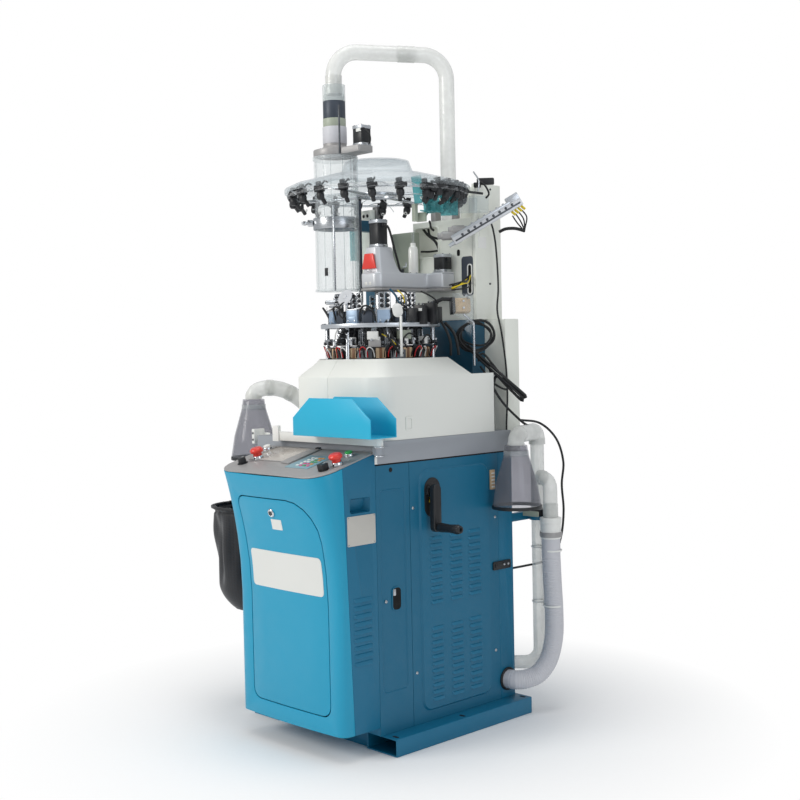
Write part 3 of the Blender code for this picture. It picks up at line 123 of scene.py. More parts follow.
def add(tree, kind, inputs=(), **settings):
    """Adds a node with its settings, and gives each of its inputs a value or another node's output."""
    node = tree.nodes.new(kind)
    for key, value in settings.items():
        setattr(node, key, value)
    for key, value in dict(inputs).items():
        if isinstance(value, bpy.types.NodeSocket):
            tree.links.new(value, node.inputs[key])
        else:
            node.inputs[key].default_value = value
    return node


def noise(tree, place, scale, detail):
    return add(tree, "ShaderNodeTexNoise", {"Vector": place, "Scale": scale, "Detail": detail}).outputs["Fac"]


def remapped(tree, value, low, high, to_low=0.0, to_high=1.0):
    """A value carried from one span to another."""
    spans = {"Value": value, "From Min": low, "From Max": high, "To Min": to_low, "To Max": to_high}
    return add(tree, "ShaderNodeMapRange", spans).outputs[0]


def mixed_colour(tree, share, one, other):
    inputs = {0: share, MIX_A: one, MIX_B: other}
    return add(tree, "ShaderNodeMix", inputs, data_type="RGBA").outputs[MIX_RESULT]


def calculated(tree, operation, *values, **settings):
    return add(tree, "ShaderNodeMath", dict(enumerate(values)), operation=operation, **settings).outputs[0]


def bumped(tree, height, distance, strength=1.0):
    inputs = {"Height": height, "Distance": distance, "Strength": strength}
    return add(tree, "ShaderNodeBump", inputs).outputs[0]


def blank(name):
    material = bpy.data.materials.new(name)
    material.use_nodes = True
    material.node_tree.nodes.clear()
    return material, material.node_tree


def add_floor():
    """A pale floor that keeps the shadows near the machine and is plain white further off."""
    material, tree = blank("pale_floor")
    place = add(tree, "ShaderNodeTexCoord").outputs["Object"]
    distance = add(tree, "ShaderNodeVectorMath", {0: place}, operation="LENGTH").outputs["Value"]
    far = remapped(tree, distance, SHADOWS_FADE_FROM, SHADOWS_END_AT)
    pale = mixed_colour(tree, noise(tree, place, 60.0, 3.0), linear("#FAFAFA"), linear("#FDFDFD"))
    matt = add(tree, "ShaderNodeBsdfDiffuse", {"Color": pale})
    white = add(tree, "ShaderNodeEmission", {"Color": (1, 1, 1, 1), "Strength": 1.0})
    camera_ray = add(tree, "ShaderNodeLightPath").outputs["Is Camera Ray"]
    share = calculated(tree, "MULTIPLY", far, camera_ray)
    mixed = add(tree, "ShaderNodeMixShader", {0: share, 1: matt.outputs[0], 2: white.outputs[0]})
    add(tree, "ShaderNodeOutputMaterial", {"Surface": mixed.outputs[0]})
    bm = bmesh.new()
    corners = ((-1, -1), (1, -1), (1, 1), (-1, 1))
    bm.faces.new([bm.verts.new((x * FLOOR_REACH, y * FLOOR_REACH, 0)) for x, y in corners])
    mesh = bpy.data.meshes.new("floor")
    bm.to_mesh(mesh)
    mesh.materials.append(material)
    floor = bpy.data.objects.new("floor", mesh)
    scene.collection.objects.link(floor)


def area_light(name, place, aim, size, power, tint="#FFFFFF"):
    data = bpy.data.lights.new(name, "AREA")
    data.shape = "DISK"
    data.size = size
    data.energy = power
    data.color = linear(tint)[:3]
    lamp = bpy.data.objects.new(name, data)
    lamp.location = place
    lamp.rotation_euler = (Vector(aim) - Vector(place)).to_track_quat("-Z", "Y").to_euler()
    lamp.visible_camera = False
    scene.collection.objects.link(lamp)


def add_lights():
    """A big soft key from the front left, a weak fill from the right, a light overhead and a white room."""
    world = bpy.data.worlds.new("white_room")
    world.use_nodes = True
    tree = world.node_tree
    tree.nodes.clear()
    rays = add(tree, "ShaderNodeLightPath").outputs
    seen = calculated(tree, "MAXIMUM", rays["Is Camera Ray"], rays["Is Transmission Ray"])
    soft = add(tree, "ShaderNodeBackground", {"Color": linear("#F4F7FA"), "Strength": 0.55})
    white = add(tree, "ShaderNodeBackground", {"Color": (1, 1, 1, 1), "Strength": 1.0})
    mixed = add(tree, "ShaderNodeMixShader", {0: seen, 1: soft.outputs[0], 2: white.outputs[0]})
    add(tree, "ShaderNodeOutputWorld", {"Surface": mixed.outputs[0]})
    scene.world = world
    scene.view_settings.view_transform = "Standard"
    area_light("key", (-1.5, -4.2, 2.8), (0, 0, 0.95), 2.0, 95.0, "#FFFDF8")
    area_light("fill", (4.2, -0.9, 2.2), (0, 0, 1.0), 2.4, 26.0, "#F3F8FF")
    area_light("overhead", (0.2, -0.3, 4.4), (0, 0, 1.0), 2.4, 40.0)


# Finishes ---------------------------------------------------------------------


def surface(name, colour, roughness, metallic=0.0, tone=0.06, cloud=3.0, grain=600.0, height=0.00004,
            stretch=(1, 1, 1), worn=0.0, coat=0.0, sheen=0.0, stain=0.0):
    """An opaque finish: slow changes of tone, a fine grain, dull patches, and edges rubbed lighter."""
    material, tree = blank(name)
    place = add(tree, "ShaderNodeTexCoord").outputs["Object"]
    drawn = add(tree, "ShaderNodeMapping", {"Vector": place, "Scale": stretch}).outputs[0]
    slow = noise(tree, place, cloud, 5.0)
    fine = noise(tree, drawn, grain, 2.0)
    patch = noise(tree, drawn, cloud * 9, 4.0)
    base = linear(colour)
    shade = mixed_colour(tree, slow, scaled(base, 1 - tone), scaled(base, 1 + tone))
    if stain:
        shade = mixed_colour(tree, remapped(tree, patch, 0.56, 0.7, 0.0, stain), shade, scaled(base, 0.45))
    if worn:
        edges = add(tree, "ShaderNodeNewGeometry").outputs["Pointiness"]
        shade = mixed_colour(tree, remapped(tree, edges, 0.51, 0.58, 0.0, worn), shade, scaled(base, 1.9))
    dull = remapped(tree, patch, 0.3, 0.7, roughness * 0.88, roughness * 1.14)
    bump = bumped(tree, fine, height)
    shader = add(tree, "ShaderNodeBsdfPrincipled", {
        "Base Color": shade, "Roughness": dull, "Metallic": metallic, "Normal": bump, "Coat Weight": coat,
        "Coat Roughness": 0.12, "Sheen Weight": sheen})
    add(tree, "ShaderNodeOutputMaterial", {"Surface": shader.outputs[0]})
    return material


def clear_finish(name, tint, body, solid=0.1, edge=0.75, haze=0.12, roughness=0.1):
    """Clear plastic: tinted light through it, a glossy skin, whiter where seen edge on, faintly hazed."""
    material, tree = blank(name)
    place = add(tree, "ShaderNodeTexCoord").outputs["Object"]
    facing = add(tree, "ShaderNodeLayerWeight", {"Blend": 0.42}).outputs["Facing"]
    rim = calculated(tree, "POWER", facing, 2.2)
    fog = remapped(tree, noise(tree, place, 14.0, 5.0), 0.35, 0.75, solid, solid + haze)
    share = calculated(tree, "MULTIPLY_ADD", rim, edge, fog, use_clamp=True)
    bump = bumped(tree, noise(tree, place, 120.0, 2.0), 0.00006)
    through = add(tree, "ShaderNodeBsdfTransparent", {"Color": linear(tint)})
    skin = add(tree, "ShaderNodeBsdfPrincipled", {
        "Base Color": linear(body), "Roughness": roughness, "Normal": bump, "Specular IOR Level": 0.8})
    mixed = add(tree, "ShaderNodeMixShader", {0: share, 1: through.outputs[0], 2: skin.outputs[0]})
    add(tree, "ShaderNodeOutputMaterial", {"Surface": mixed.outputs[0]})
    return material


def woven_finish(name, colour, thread, height):
    """Plain-weave nylon: threads over and under, a little sheen, and random lighter and darker patches."""
    material, tree = blank(name)
    place = add(tree, "ShaderNodeTexCoord").outputs["UV"]
    waves = []
    for axis in ("X", "Y"):
        wave = add(tree, "ShaderNodeTexWave", {"Vector": place, "Scale": 1 / (thread * 20), "Distortion": 0.4,
                                               "Detail": 1.0}, bands_direction=axis)
        waves.append(wave.outputs["Fac"])
    weave = calculated(tree, "MULTIPLY", *waves)
    solid = add(tree, "ShaderNodeTexCoord").outputs["Object"]
    base = linear(colour)
    shade = mixed_colour(tree, noise(tree, solid, 22.0, 6.0), scaled(base, 0.7), scaled(base, 1.5))
    bump = bumped(tree, weave, height, 0.8)
    shader = add(tree, "ShaderNodeBsdfPrincipled", {
        "Base Color": shade, "Roughness": 0.62, "Normal": bump, "Sheen Weight": 0.35, "Sheen Roughness": 0.4})
    add(tree, "ShaderNodeOutputMaterial", {"Surface": shader.outputs[0]})
    return material


FINISHES = {
    # powder-coated sheet steel in the same teal paint as the console's front, darkened: painted shade, so
    # that the sides look shaded beside the lighter front
    "teal": surface("teal_powder_coat", "#006384", 0.48, tone=0.05, height=0.00006, worn=0.2, coat=0.04),
    # moulded and painted fibreglass
    "teal_shell": surface("teal_painted_fibreglass", "#0097BC", 0.4, tone=0.04, grain=240.0, height=0.00005,
                          coat=0.1),
    # thick acrylic enamel on the tray
    "teal_tray": surface("teal_tray_enamel", "#0FA4C9", 0.4, tone=0.04, coat=0.08, worn=0.2),
    # dark blue-green enamel on the stand
    "deep_teal": surface("dark_teal_enamel", "#14506A", 0.4, tone=0.08, coat=0.2),
    "bed": surface("grey_hammer_enamel", "#9EA2A8", 0.46, metallic=0.25, tone=0.05, grain=380.0,
                   height=0.00008),
    "hood": surface("off_white_powder_coat", "#E6E7E1", 0.42, tone=0.025, height=0.00005, coat=0.1),
    "cream": surface("cream_powder_coat", "#E9EBE1", 0.46, tone=0.035, height=0.00006, worn=0.1, stain=0.04),
    "sage": surface("grey_green_enamel", "#A4AB9B", 0.44, tone=0.05),
    "casting": surface("silver_painted_casting", "#CDCFD3", 0.38, metallic=0.35, tone=0.06, grain=300.0,
                       height=0.00012, worn=0.15),
    "steel": surface("brushed_steel", "#C3C6CA", 0.27, metallic=1.0, tone=0.08, grain=90.0,
                     stretch=(1, 1, 16)),
    "plate": surface("ground_aluminium_plate", "#C9CDD2", 0.34, metallic=0.8, tone=0.05, grain=160.0,
                     stretch=(8, 8, 1)),
    "chrome": surface("chrome_plate", "#D9DBDE", 0.12, metallic=1.0, tone=0.03, grain=40.0, height=0.00002),
    "dark_steel": surface("oiled_dark_steel", "#5C5F63", 0.36, metallic=0.9, tone=0.15, grain=140.0,
                          stain=0.5),
    "slate": surface("slate_anodised_housing", "#3F4651", 0.42, metallic=0.2, tone=0.1),
    "blue_grey": surface("blue_grey_actuator_case", "#8C9FB4", 0.36, metallic=0.25, tone=0.08, worn=0.3),
    "black": surface("black_moulded_plastic", "#1C1D20", 0.42, tone=0.2, grain=900.0, height=0.00005,
                     worn=0.15),
    "black_metal": surface("black_painted_metal", "#202123", 0.38, metallic=0.1, tone=0.18, worn=0.3),
    "rubber": surface("black_cable_jacket", "#141517", 0.5, tone=0.2, grain=500.0),
    "red": surface("red_moulded_plastic", "#E2372B", 0.32, tone=0.05, coat=0.3),
    "red_wire": surface("red_wire_jacket", "#C8242A", 0.4),
    "white_wire": surface("white_wire_jacket", "#E9E9E6", 0.4, tone=0.05),
    "yellow": surface("yellow_moulded_plastic", "#E3C81E", 0.38, tone=0.06),
    "green": surface("green_moulded_plastic", "#1FA544", 0.32, tone=0.05, coat=0.3),
    "orange": surface("orange_key_cap", "#D9923B", 0.42),
    "pink": surface("pink_key_cap", "#DB5F8C", 0.42),
    "lime": surface("green_key_cap", "#4FA05A", 0.42),
    "white": surface("white_moulded_plastic", "#EAEAE6", 0.36, tone=0.03),
    "ceramic": surface("white_glazed_ceramic", "#F2F1EC", 0.16, tone=0.02, coat=0.5),
    "tan": surface("tan_phenolic_block", "#C9AE8B", 0.55, tone=0.12, grain=260.0, height=0.0001,
                   stretch=(1, 1, 6)),
    "brown": surface("brown_phenolic_block", "#7B573C", 0.55, tone=0.15, stretch=(1, 1, 6)),
    "panel": surface("grey_anodised_panel", "#A3A1A0", 0.44, metallic=0.25, tone=0.04, grain=200.0,
                     stretch=(1, 12, 12)),
    "screen": surface("grey_screen_film", "#BDB6AE", 0.26, tone=0.06, coat=0.4),
    "film": surface("printed_keypad_film", "#7FA3AE", 0.34, tone=0.05),
    "label": surface("satin_label_plate", "#DEDEDA", 0.34, metallic=0.15, tone=0.03),
    "silver_label": surface("brushed_label_foil", "#C4C1BA", 0.46, metallic=0.15, tone=0.02,
                            stretch=(1, 1, 10)),
    "hose": surface("grey_ribbed_hose", "#CACACF", 0.55, tone=0.06, grain=260.0, height=0.00012, stain=0.05),
    # dark joints, and painted shade laid into holes, slots and openings
    "dark_joint_and_painted_shade": surface("black_joint_and_painted_shade", "#0C0D0E", 0.85, tone=0.2),
    "acrylic": clear_finish("teal_tinted_acrylic", "#A9DADC", "#6DBBC0", solid=0.28, edge=0.45, haze=0.1),
    "clear": clear_finish("clear_tube_plastic", "#F8FAFA", "#E9ECEC", solid=0.12, edge=0.55, haze=0.12),
    "clear_pipe": clear_finish("clear_pvc_pipe", "#FAFBFA", "#F0F0ED", solid=0.4, edge=0.45, haze=0.25),
    "clear_canister": clear_finish("clear_canister_acrylic", "#FDFEFE", "#F4F6F8", solid=0.1, edge=0.3,
                                   haze=0.05),
    "smoky": clear_finish("smoky_cone_plastic", "#E2E2E5", "#ABABAF", solid=0.12, edge=0.34, haze=0.1,
                          roughness=0.07),
    "clear_cover": clear_finish("clear_cover_acrylic", "#F7F9FA", "#E1E6E8", solid=0.05, edge=0.5, haze=0.04),
    "hem": surface("black_nylon_hem", "#1B1C20", 0.7, tone=0.2, grain=700.0, height=0.0003, sheen=0.3),
    "cloth": woven_finish("black_woven_nylon", "#1F2024", 0.0016, 0.0005),
}


# Shapes -----------------------------------------------------------------------


def bevelled(bm, width, segments=2, limit=32):
    """Rounds every edge sharper than the limit, in degrees."""
    bm.normal_update()
    sharp = [edge for edge in bm.edges
             if len(edge.link_faces) == 2 and edge.calc_face_angle(0.0) > math.radians(limit)]
    if sharp and width:
        bmesh.ops.bevel(bm, geom=sharp, offset=width, segments=segments, profile=0.5, affect="EDGES",
                        clamp_overlap=True)
    return bm


def placed(bm, where=(0, 0, 0), turn=(0, 0, 0)):
    """Turns a shape about X, Y and Z, in degrees, then moves it."""
    turned_by = Euler([math.radians(angle) for angle in turn]).to_matrix().to_4x4()
    bmesh.ops.transform(bm, matrix=Matrix.Translation(where) @ turned_by, verts=bm.verts)
    return bm


def around(bm, degrees, radius=0.0, z=0.0):
    """Moves a shape out to a radius and round the cylinder's axis; its own +X points outwards."""
    placed(bm, (radius, 0, z))
    return placed(bm, turn=(0, 0, degrees))


def on_console(bm, x, run, lift=0.0):
    """Lays a shape on the console's sloping panel; its own +Y points up the slope."""
    cosine, sine = math.cos(CONSOLE_SLOPE), math.sin(CONSOLE_SLOPE)
    where = (x, CONSOLE_REAR_Y - run * cosine - lift * sine, CONSOLE_FACE_Z - run * sine + lift * cosine)
    return placed(bm, where, (math.degrees(CONSOLE_SLOPE), 0, 0))


def rounded(u0, u1, v0, v1, radii, steps=6):
    """A rectangle's outline with rounded corners: lower left, lower right, upper right, upper left."""
    if isinstance(radii, float):
        radii = (radii,) * 4
    corners = ((u0, v0, 1, 1, 180), (u1, v0, -1, 1, 270), (u1, v1, -1, -1, 0), (u0, v1, 1, -1, 90))
    points = []
    for (u, v, du, dv, start), radius in zip(corners, radii):
        for k in range(steps + 1):
            turn = math.radians(start + 90 * k / steps)
            points.append((u + du * radius + radius * math.cos(turn),
                           v + dv * radius + radius * math.sin(turn)))
    return points


def circle(u, v, radius, count=32):
    return [(u + radius * math.cos(math.tau * k / count), v + radius * math.sin(math.tau * k / count))
            for k in range(count)]


AXES = {
    "X": lambda u, v, w: (w, u, v),
    "Y": lambda u, v, w: (u, w, v),
    "Z": lambda u, v, w: (u, v, w),
}


def slab(outline, low, high, axis="Z", holes=(), edge=0.0):
    """An outline, with any holes, given thickness along an axis."""
    bm = bmesh.new()
    edges = []
    for loop in (outline, *holes):
        verts = [bm.verts.new(AXES[axis](u, v, low)) for u, v in loop]
        if holes:
            edges += [bm.edges.new((a, b)) for a, b in zip(verts, verts[1:] + verts[:1])]
        else:
            bm.faces.new(verts)
    if holes:
        bmesh.ops.triangle_fill(bm, edges=edges, use_beauty=True)
    extruded = bmesh.ops.extrude_face_region(bm, geom=bm.faces[:])
    raised = [item for item in extruded["geom"] if isinstance(item, bmesh.types.BMVert)]
    bmesh.ops.translate(bm, vec=AXES[axis](0, 0, high - low), verts=raised)
    bmesh.ops.recalc_face_normals(bm, faces=bm.faces)
    return bevelled(bm, edge)


def block(x0, x1, y0, y1, z0, z1, edge=0.001):
    """A box with rounded edges."""
    bm = bmesh.new()
    bmesh.ops.create_cube(bm, size=1.0)
    middle = ((x0 + x1) / 2, (y0 + y1) / 2, (z0 + z1) / 2)
    matrix = Matrix.Translation(middle) @ Matrix.Diagonal((x1 - x0, y1 - y0, z1 - z0, 1.0))
    bmesh.ops.transform(bm, matrix=matrix, verts=bm.verts)
    return bevelled(bm, edge)


def cube(width, depth, height, edge=0.001):
    """A box with rounded edges, standing on the middle of its base."""
    return block(-width / 2, width / 2, -depth / 2, depth / 2, 0, height, edge)


def turned(profile, sides=48, edge=0.0):
    """A profile of (radius, height) spun about Z, a ring unless it starts and ends on the axis."""
    bm = bmesh.new()
    rings = []
    for k in range(sides):
        angle = math.tau * k / sides
        rings.append([bm.verts.new((r * math.cos(angle), r * math.sin(angle), z)) for r, z in profile])
    closed = profile[0][0] > 0 or profile[-1][0] > 0
    count = len(profile)
    for here, beyond in zip(rings, rings[1:] + rings[:1]):
        for i in range(count if closed else count - 1):
            j = (i + 1) % count
            bm.faces.new((here[i], beyond[i], beyond[j], here[j]))
    bmesh.ops.remove_doubles(bm, verts=bm.verts, dist=1e-7)
    bmesh.ops.recalc_face_normals(bm, faces=bm.faces)
    return bevelled(bm, edge)


def disc(radius, low, high, edge=0.0008, sides=32):
    return turned([(0, low), (radius, low), (radius, high), (0, high)], sides, edge)


def ring(inner, outer, low, high, edge=0.0006, sides=48):
    return turned([(inner, low), (outer, low), (outer, high), (inner, high)], sides, edge)


def swept(points, radius, sides=12, hollow=0.0):
    """A tube along the points, with one radius or one for each point; hollow is a wall's thickness."""
    points = [Vector(point) for point in points]
    radii = radius if isinstance(radius, (list, tuple)) else [radius] * len(points)
    ways = [(b - a).normalized() for a, b in zip(points, points[1:])]
    ways = [ways[0]] + [(a + b).normalized() for a, b in zip(ways, ways[1:])] + [ways[-1]]
    side = ways[0].orthogonal().normalized()
    bm = bmesh.new()
    walls = []
    for point, way, size in zip(points, ways, radii):
        side = (side - way * side.dot(way)).normalized()
        other = way.cross(side)
        loops = []
        for reach in (size, size - hollow) if hollow else (size,):
            turns = [math.tau * k / sides for k in range(sides)]
            loops.append([bm.verts.new(point + reach * (side * math.cos(turn) + other * math.sin(turn)))
                          for turn in turns])
        walls.append(loops)
    for here, beyond in zip(walls, walls[1:]):
        for near, far in zip(here, beyond):
            for k in range(sides):
                j = (k + 1) % sides
                bm.faces.new((near[k], near[j], far[j], far[k]))
    for loops in (walls[0], walls[-1]):
        if hollow:
            for k in range(sides):
                j = (k + 1) % sides
                bm.faces.new((loops[0][k], loops[0][j], loops[1][j], loops[1][k]))
        else:
            bm.faces.new(loops[0])
    bmesh.ops.recalc_face_normals(bm, faces=bm.faces)
    return bm


def rod(start, end, radius, sides=20, edge=0.0005):
    return bevelled(swept([start, end], radius, sides), edge)


def lofted(rings):
    """A closed skin over rings with the same number of points."""
    bm = bmesh.new()
    rows = [[bm.verts.new(point) for point in points] for points in rings]
    count = len(rows[0])
    for near, far in zip(rows, rows[1:]):
        for k in range(count):
            j = (k + 1) % count
            bm.faces.new((near[k], near[j], far[j], far[k]))
    bm.faces.new(rows[0])
    bm.faces.new(rows[-1])
    bmesh.ops.recalc_face_normals(bm, faces=bm.faces)
    return bm


def smooth_route(points, spacing):
    """Evenly spaced points on a Catmull-Rom curve through the given points."""
    ends = [Vector(point) for point in points]
    ends = [2 * ends[0] - ends[1], *ends, 2 * ends[-1] - ends[-2]]
    fine = []
    for a, b, c, d in zip(ends, ends[1:], ends[2:], ends[3:]):
        for k in range(24):
            t = k / 24
            fine.append(0.5 * (2 * b + (c - a) * t + (2 * a - 5 * b + 4 * c - d) * t**2
                               + (3 * b - a - 3 * c + d) * t**3))
    fine.append(ends[-2])
    lengths = [0.0]
    for a, b in zip(fine, fine[1:]):
        lengths.append(lengths[-1] + (b - a).length)
    count = max(4, round(lengths[-1] / spacing))
    route = []
    i = 0
    for k in range(count + 1):
        target = lengths[-1] * k / count
        while i < len(fine) - 2 and lengths[i + 1] < target:
            i += 1
        span = lengths[i + 1] - lengths[i]
        route.append(fine[i].lerp(fine[i + 1], min(1.0, (target - lengths[i]) / span) if span else 0.0))
    return route


def cord_route(points, spacing):
    """A smooth route whose first and last steps are straight, so that its ends meet things squarely."""
    return [Vector(points[0]), *smooth_route(points[1:-1], spacing), Vector(points[-1])]


def arch(start, end, crown, bend, steps=12):
    """A route straight up from start, bent over at the crown's height, and straight down to end."""
    foot = Vector((start[0], start[1], crown - bend))
    far = Vector((end[0], end[1], crown - bend))
    along = (far - foot).normalized()
    turns = [math.pi / 2 * k / steps for k in range(steps + 1)]
    rise = [foot + along * bend * (1 - math.cos(t)) + Vector((0, 0, bend * math.sin(t))) for t in turns]
    fall = [far - along * bend * (1 - math.sin(t)) + Vector((0, 0, bend * math.cos(t))) for t in turns]
    return [Vector(start), *rise, *fall, Vector(end)]


def joined(parts, name):
    """One mesh from shapes, each with the name of its finish."""
    used = []
    whole = bmesh.new()
    for shape, finish in parts:
        if finish not in used:
            used.append(finish)
        for face in shape.faces:
            face.material_index = used.index(finish)
        step = bpy.data.meshes.new("step")
        shape.to_mesh(step)
        shape.free()
        whole.from_mesh(step)
        bpy.data.meshes.remove(step)
    mesh = bpy.data.meshes.new(name)
    whole.to_mesh(mesh)
    whole.free()
    for finish in used:
        mesh.materials.append(FINISHES[finish])
    mesh.shade_smooth()
    mesh.set_sharp_from_angle(angle=SHARP_ANGLE)
    return mesh


def piece(name, parts, replaces=(), body="machine"):
    """One visible piece, made of finished shapes, that moves with a body."""
    obj = bpy.data.objects.new(name, joined(parts, name))
    scene.collection.objects.link(obj)
    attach(obj, body)
    if replaces:
        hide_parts(*replaces)
    return obj


def merged_copy(node):
    """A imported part's shape as one skin, with its flat faces whole again."""
    bm = bmesh.new()
    bm.from_mesh(frame["nodes"][node].data)
    bmesh.ops.remove_doubles(bm, verts=bm.verts, dist=1e-5)
    bmesh.ops.dissolve_limit(bm, angle_limit=math.radians(1.0), verts=bm.verts, edges=bm.edges)
    bmesh.ops.recalc_face_normals(bm, faces=bm.faces)
    return bm


def refined(node, finish, width):
    """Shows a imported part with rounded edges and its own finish."""
    parts = [(bevelled(merged_copy(node), width), finish)]
    piece(node + "_skin", parts, (node,), body=frame["nodes"][node]["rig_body"])


# Repeats ----------------------------------------------------------------------


def repeat_tree(name, sockets, place_points):
    """A tree that puts one unit at each point that place_points makes, real and in one finish."""
    tree = bpy.data.node_groups.new(name, "GeometryNodeTree")
    for label, kind in (("Unit", "NodeSocketObject"), ("Finish", "NodeSocketMaterial"), *sockets):
        tree.interface.new_socket(name=label, in_out="INPUT", socket_type=kind)
    tree.interface.new_socket(name="Geometry", in_out="OUTPUT", socket_type="NodeSocketGeometry")
    given = add(tree, "NodeGroupInput").outputs
    points, turn = place_points(tree, given, add(tree, "GeometryNodeInputIndex").outputs[0])
    unit = add(tree, "GeometryNodeObjectInfo", {"Object": given["Unit"]}).outputs["Geometry"]
    copies = add(tree, "GeometryNodeInstanceOnPoints", {"Points": points, "Instance": unit, "Rotation": turn})
    real = add(tree, "GeometryNodeRealizeInstances", {"Geometry": copies.outputs[0]})
    finished = add(tree, "GeometryNodeSetMaterial", {"Geometry": real.outputs[0],
                                                     "Material": given["Finish"]})
    add(tree, "NodeGroupOutput", {"Geometry": finished.outputs[0]})
    return tree


def points_in_ring(tree, given, index):
    """Points evenly round the cylinder's axis from Start through Sweep, each turned to face outwards."""
    step = calculated(tree, "DIVIDE", given["Sweep"], given["Count"])
    angle = calculated(tree, "MULTIPLY_ADD", index, step, given["Start"])
    flat = {label: calculated(tree, "MULTIPLY", calculated(tree, operation, angle), given["Radius"])
            for label, operation in (("X", "COSINE"), ("Y", "SINE"))}
    spot = add(tree, "ShaderNodeCombineXYZ", {**flat, "Z": given["Height"]}).outputs[0]
    points = add(tree, "GeometryNodePoints", {"Count": given["Count"], "Position": spot}).outputs[0]
    return points, add(tree, "ShaderNodeCombineXYZ", {"Z": angle}).outputs[0]


def points_in_grid(tree, given, index):
    """Rows and columns of points from First, a Row step and a Column step apart."""
    row = calculated(tree, "FLOOR", calculated(tree, "DIVIDE", index, given["Columns"]))
    column = calculated(tree, "MODULO", index, given["Columns"])
    spot = given["First"]
    for number, step in ((row, "Row step"), (column, "Column step")):
        offset = add(tree, "ShaderNodeVectorMath", {0: given[step], "Scale": number},
                     operation="SCALE").outputs[0]
        spot = add(tree, "ShaderNodeVectorMath", {0: spot, 1: offset}, operation="ADD").outputs[0]
    count = calculated(tree, "MULTIPLY", given["Rows"], given["Columns"])
    points = add(tree, "GeometryNodePoints", {"Count": count, "Position": spot}).outputs[0]
    return points, given["Turn"]


RING_TREE = repeat_tree("ring_of_units", (
    ("Count", "NodeSocketInt"), ("Radius", "NodeSocketFloat"), ("Height", "NodeSocketFloat"),
    ("Start", "NodeSocketFloat"), ("Sweep", "NodeSocketFloat")), points_in_ring)
GRID_TREE = repeat_tree("grid_of_units", (
    ("Rows", "NodeSocketInt"), ("Columns", "NodeSocketInt"), ("First", "NodeSocketVector"),
    ("Row step", "NodeSocketVector"), ("Column step", "NodeSocketVector"), ("Turn", "NodeSocketVector")),
                        points_in_grid)


def repeated(name, tree, unit, finish, **values):
    """One unit's shape repeated by a tree, turned into a plain piece of the standing machine."""
    pattern = bpy.data.objects.new("pattern", joined([(unit, finish)], "pattern"))
    host = bpy.data.objects.new("host", bpy.data.meshes.new("host"))
    for obj in (pattern, host):
        scene.collection.objects.link(obj)
    modifier = host.modifiers.new("repeat", "NODES")
    modifier.node_group = tree
    values = {"Unit": pattern, "Finish": FINISHES[finish], **{key.replace("_", " "): v
                                                              for key, v in values.items()}}
    for item in tree.interface.items_tree:
        if item.in_out == "INPUT":
            modifier[item.identifier] = values[item.name]
    bpy.context.view_layer.update()
    mesh = bpy.data.meshes.new_from_object(host.evaluated_get(bpy.context.evaluated_depsgraph_get()))
    mesh.name = name
    for obj in (pattern, host):
        bpy.data.objects.remove(obj)
    mesh.shade_smooth()
    mesh.set_sharp_from_angle(angle=SHARP_ANGLE)
    made = bpy.data.objects.new(name, mesh)
    scene.collection.objects.link(made)
    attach(made, "machine")


def ring_of(name, unit, finish, count, radius, height, start=0.0, sweep=360.0):
    repeated(name, RING_TREE, unit, finish, Count=count, Radius=radius, Height=height,
             Start=math.radians(start), Sweep=math.radians(sweep))


def grid_of(name, unit, finish, first, rows=1, row_step=(0, 0, 0), columns=1, column_step=(0, 0, 0),
            turn=(0, 0, 0)):
    repeated(name, GRID_TREE, unit, finish, Rows=rows, Columns=columns, First=first,
             Row_step=row_step, Column_step=column_step, Turn=[math.radians(a) for a in turn])


# Cords, hose and cables -------------------------------------------------------

GREY_HOSE = (
    (0.345, 0.364, 0.5243), (0.345, 0.364, 0.47), (0.3465, 0.3665, 0.39), (0.349, 0.369, 0.3),
    (0.349, 0.366, 0.225), (0.343, 0.348, 0.16), (0.332, 0.314, 0.121), (0.313, 0.28, 0.107),
    (0.294, 0.2555, 0.105), (0.279, 0.25, 0.105), (0.263, 0.25, 0.105),
)
LEFT_PIPE = (
    (-0.355, -0.21, 0.96), (-0.355, -0.21, 0.968), (-0.352, -0.204, 0.982), (-0.344, -0.19, 0.99),
    (-0.333, -0.16, 0.993), (-0.322, -0.12, 0.985), (-0.312, -0.08, 0.965), (-0.303, -0.045, 0.938),
    (-0.29, -0.016, 0.916), (-0.275, -0.01, 0.91), (-0.2621, -0.01, 0.91),
)
VALVE_CABLE = (
    (0.202, 0.28, 1.478), (0.203, 0.286, 1.462), (0.206, 0.2925, 1.42), (0.209, 0.296, 1.35),
    (0.211, 0.296, 1.28), (0.218, 0.282, 1.215), (0.24, 0.274, 1.15), (0.254, 0.276, 1.05),
    (0.257, 0.277, 0.96), (0.255, 0.275, 0.9), (0.254, 0.274, 0.875), (0.254, 0.274, 0.8552),
)
LOOP_CABLE = (
    (0.13, 0.2245, 1.16), (0.13, 0.212, 1.16), (0.137, 0.198, 1.152), (0.16, 0.18, 1.13),
    (0.2, 0.19, 1.09), (0.245, 0.23, 1.03), (0.285, 0.265, 0.985), (0.306, 0.285, 0.955),
    (0.3, 0.29, 0.945), (0.268, 0.26, 0.99), (0.244, 0.245, 1.018), (0.23, 0.244, 0.985),
    (0.228, 0.244, 0.93), (0.228, 0.244, 0.88), (0.228, 0.244, 0.8552),
)
REAR_CABLE = (
    (0.23, 0.3457, 0.88), (0.23, 0.36, 0.88), (0.27, 0.412, 0.868), (0.31, 0.44, 0.82),
    (0.33, 0.448, 0.75), (0.326, 0.444, 0.68), (0.33, 0.446, 0.6), (0.322, 0.442, 0.52),
    (0.296, 0.434, 0.45), (0.258, 0.418, 0.434), (0.236, 0.37, 0.428), (0.233, 0.31, 0.428),
    (0.233, 0.2836, 0.428),
)


def add_cable(name, points, radius):
    route = cord_route(points, 0.006)
    cable = piece(name + "_jacket", [(swept(route, radius, 12), "rubber")], (name,))


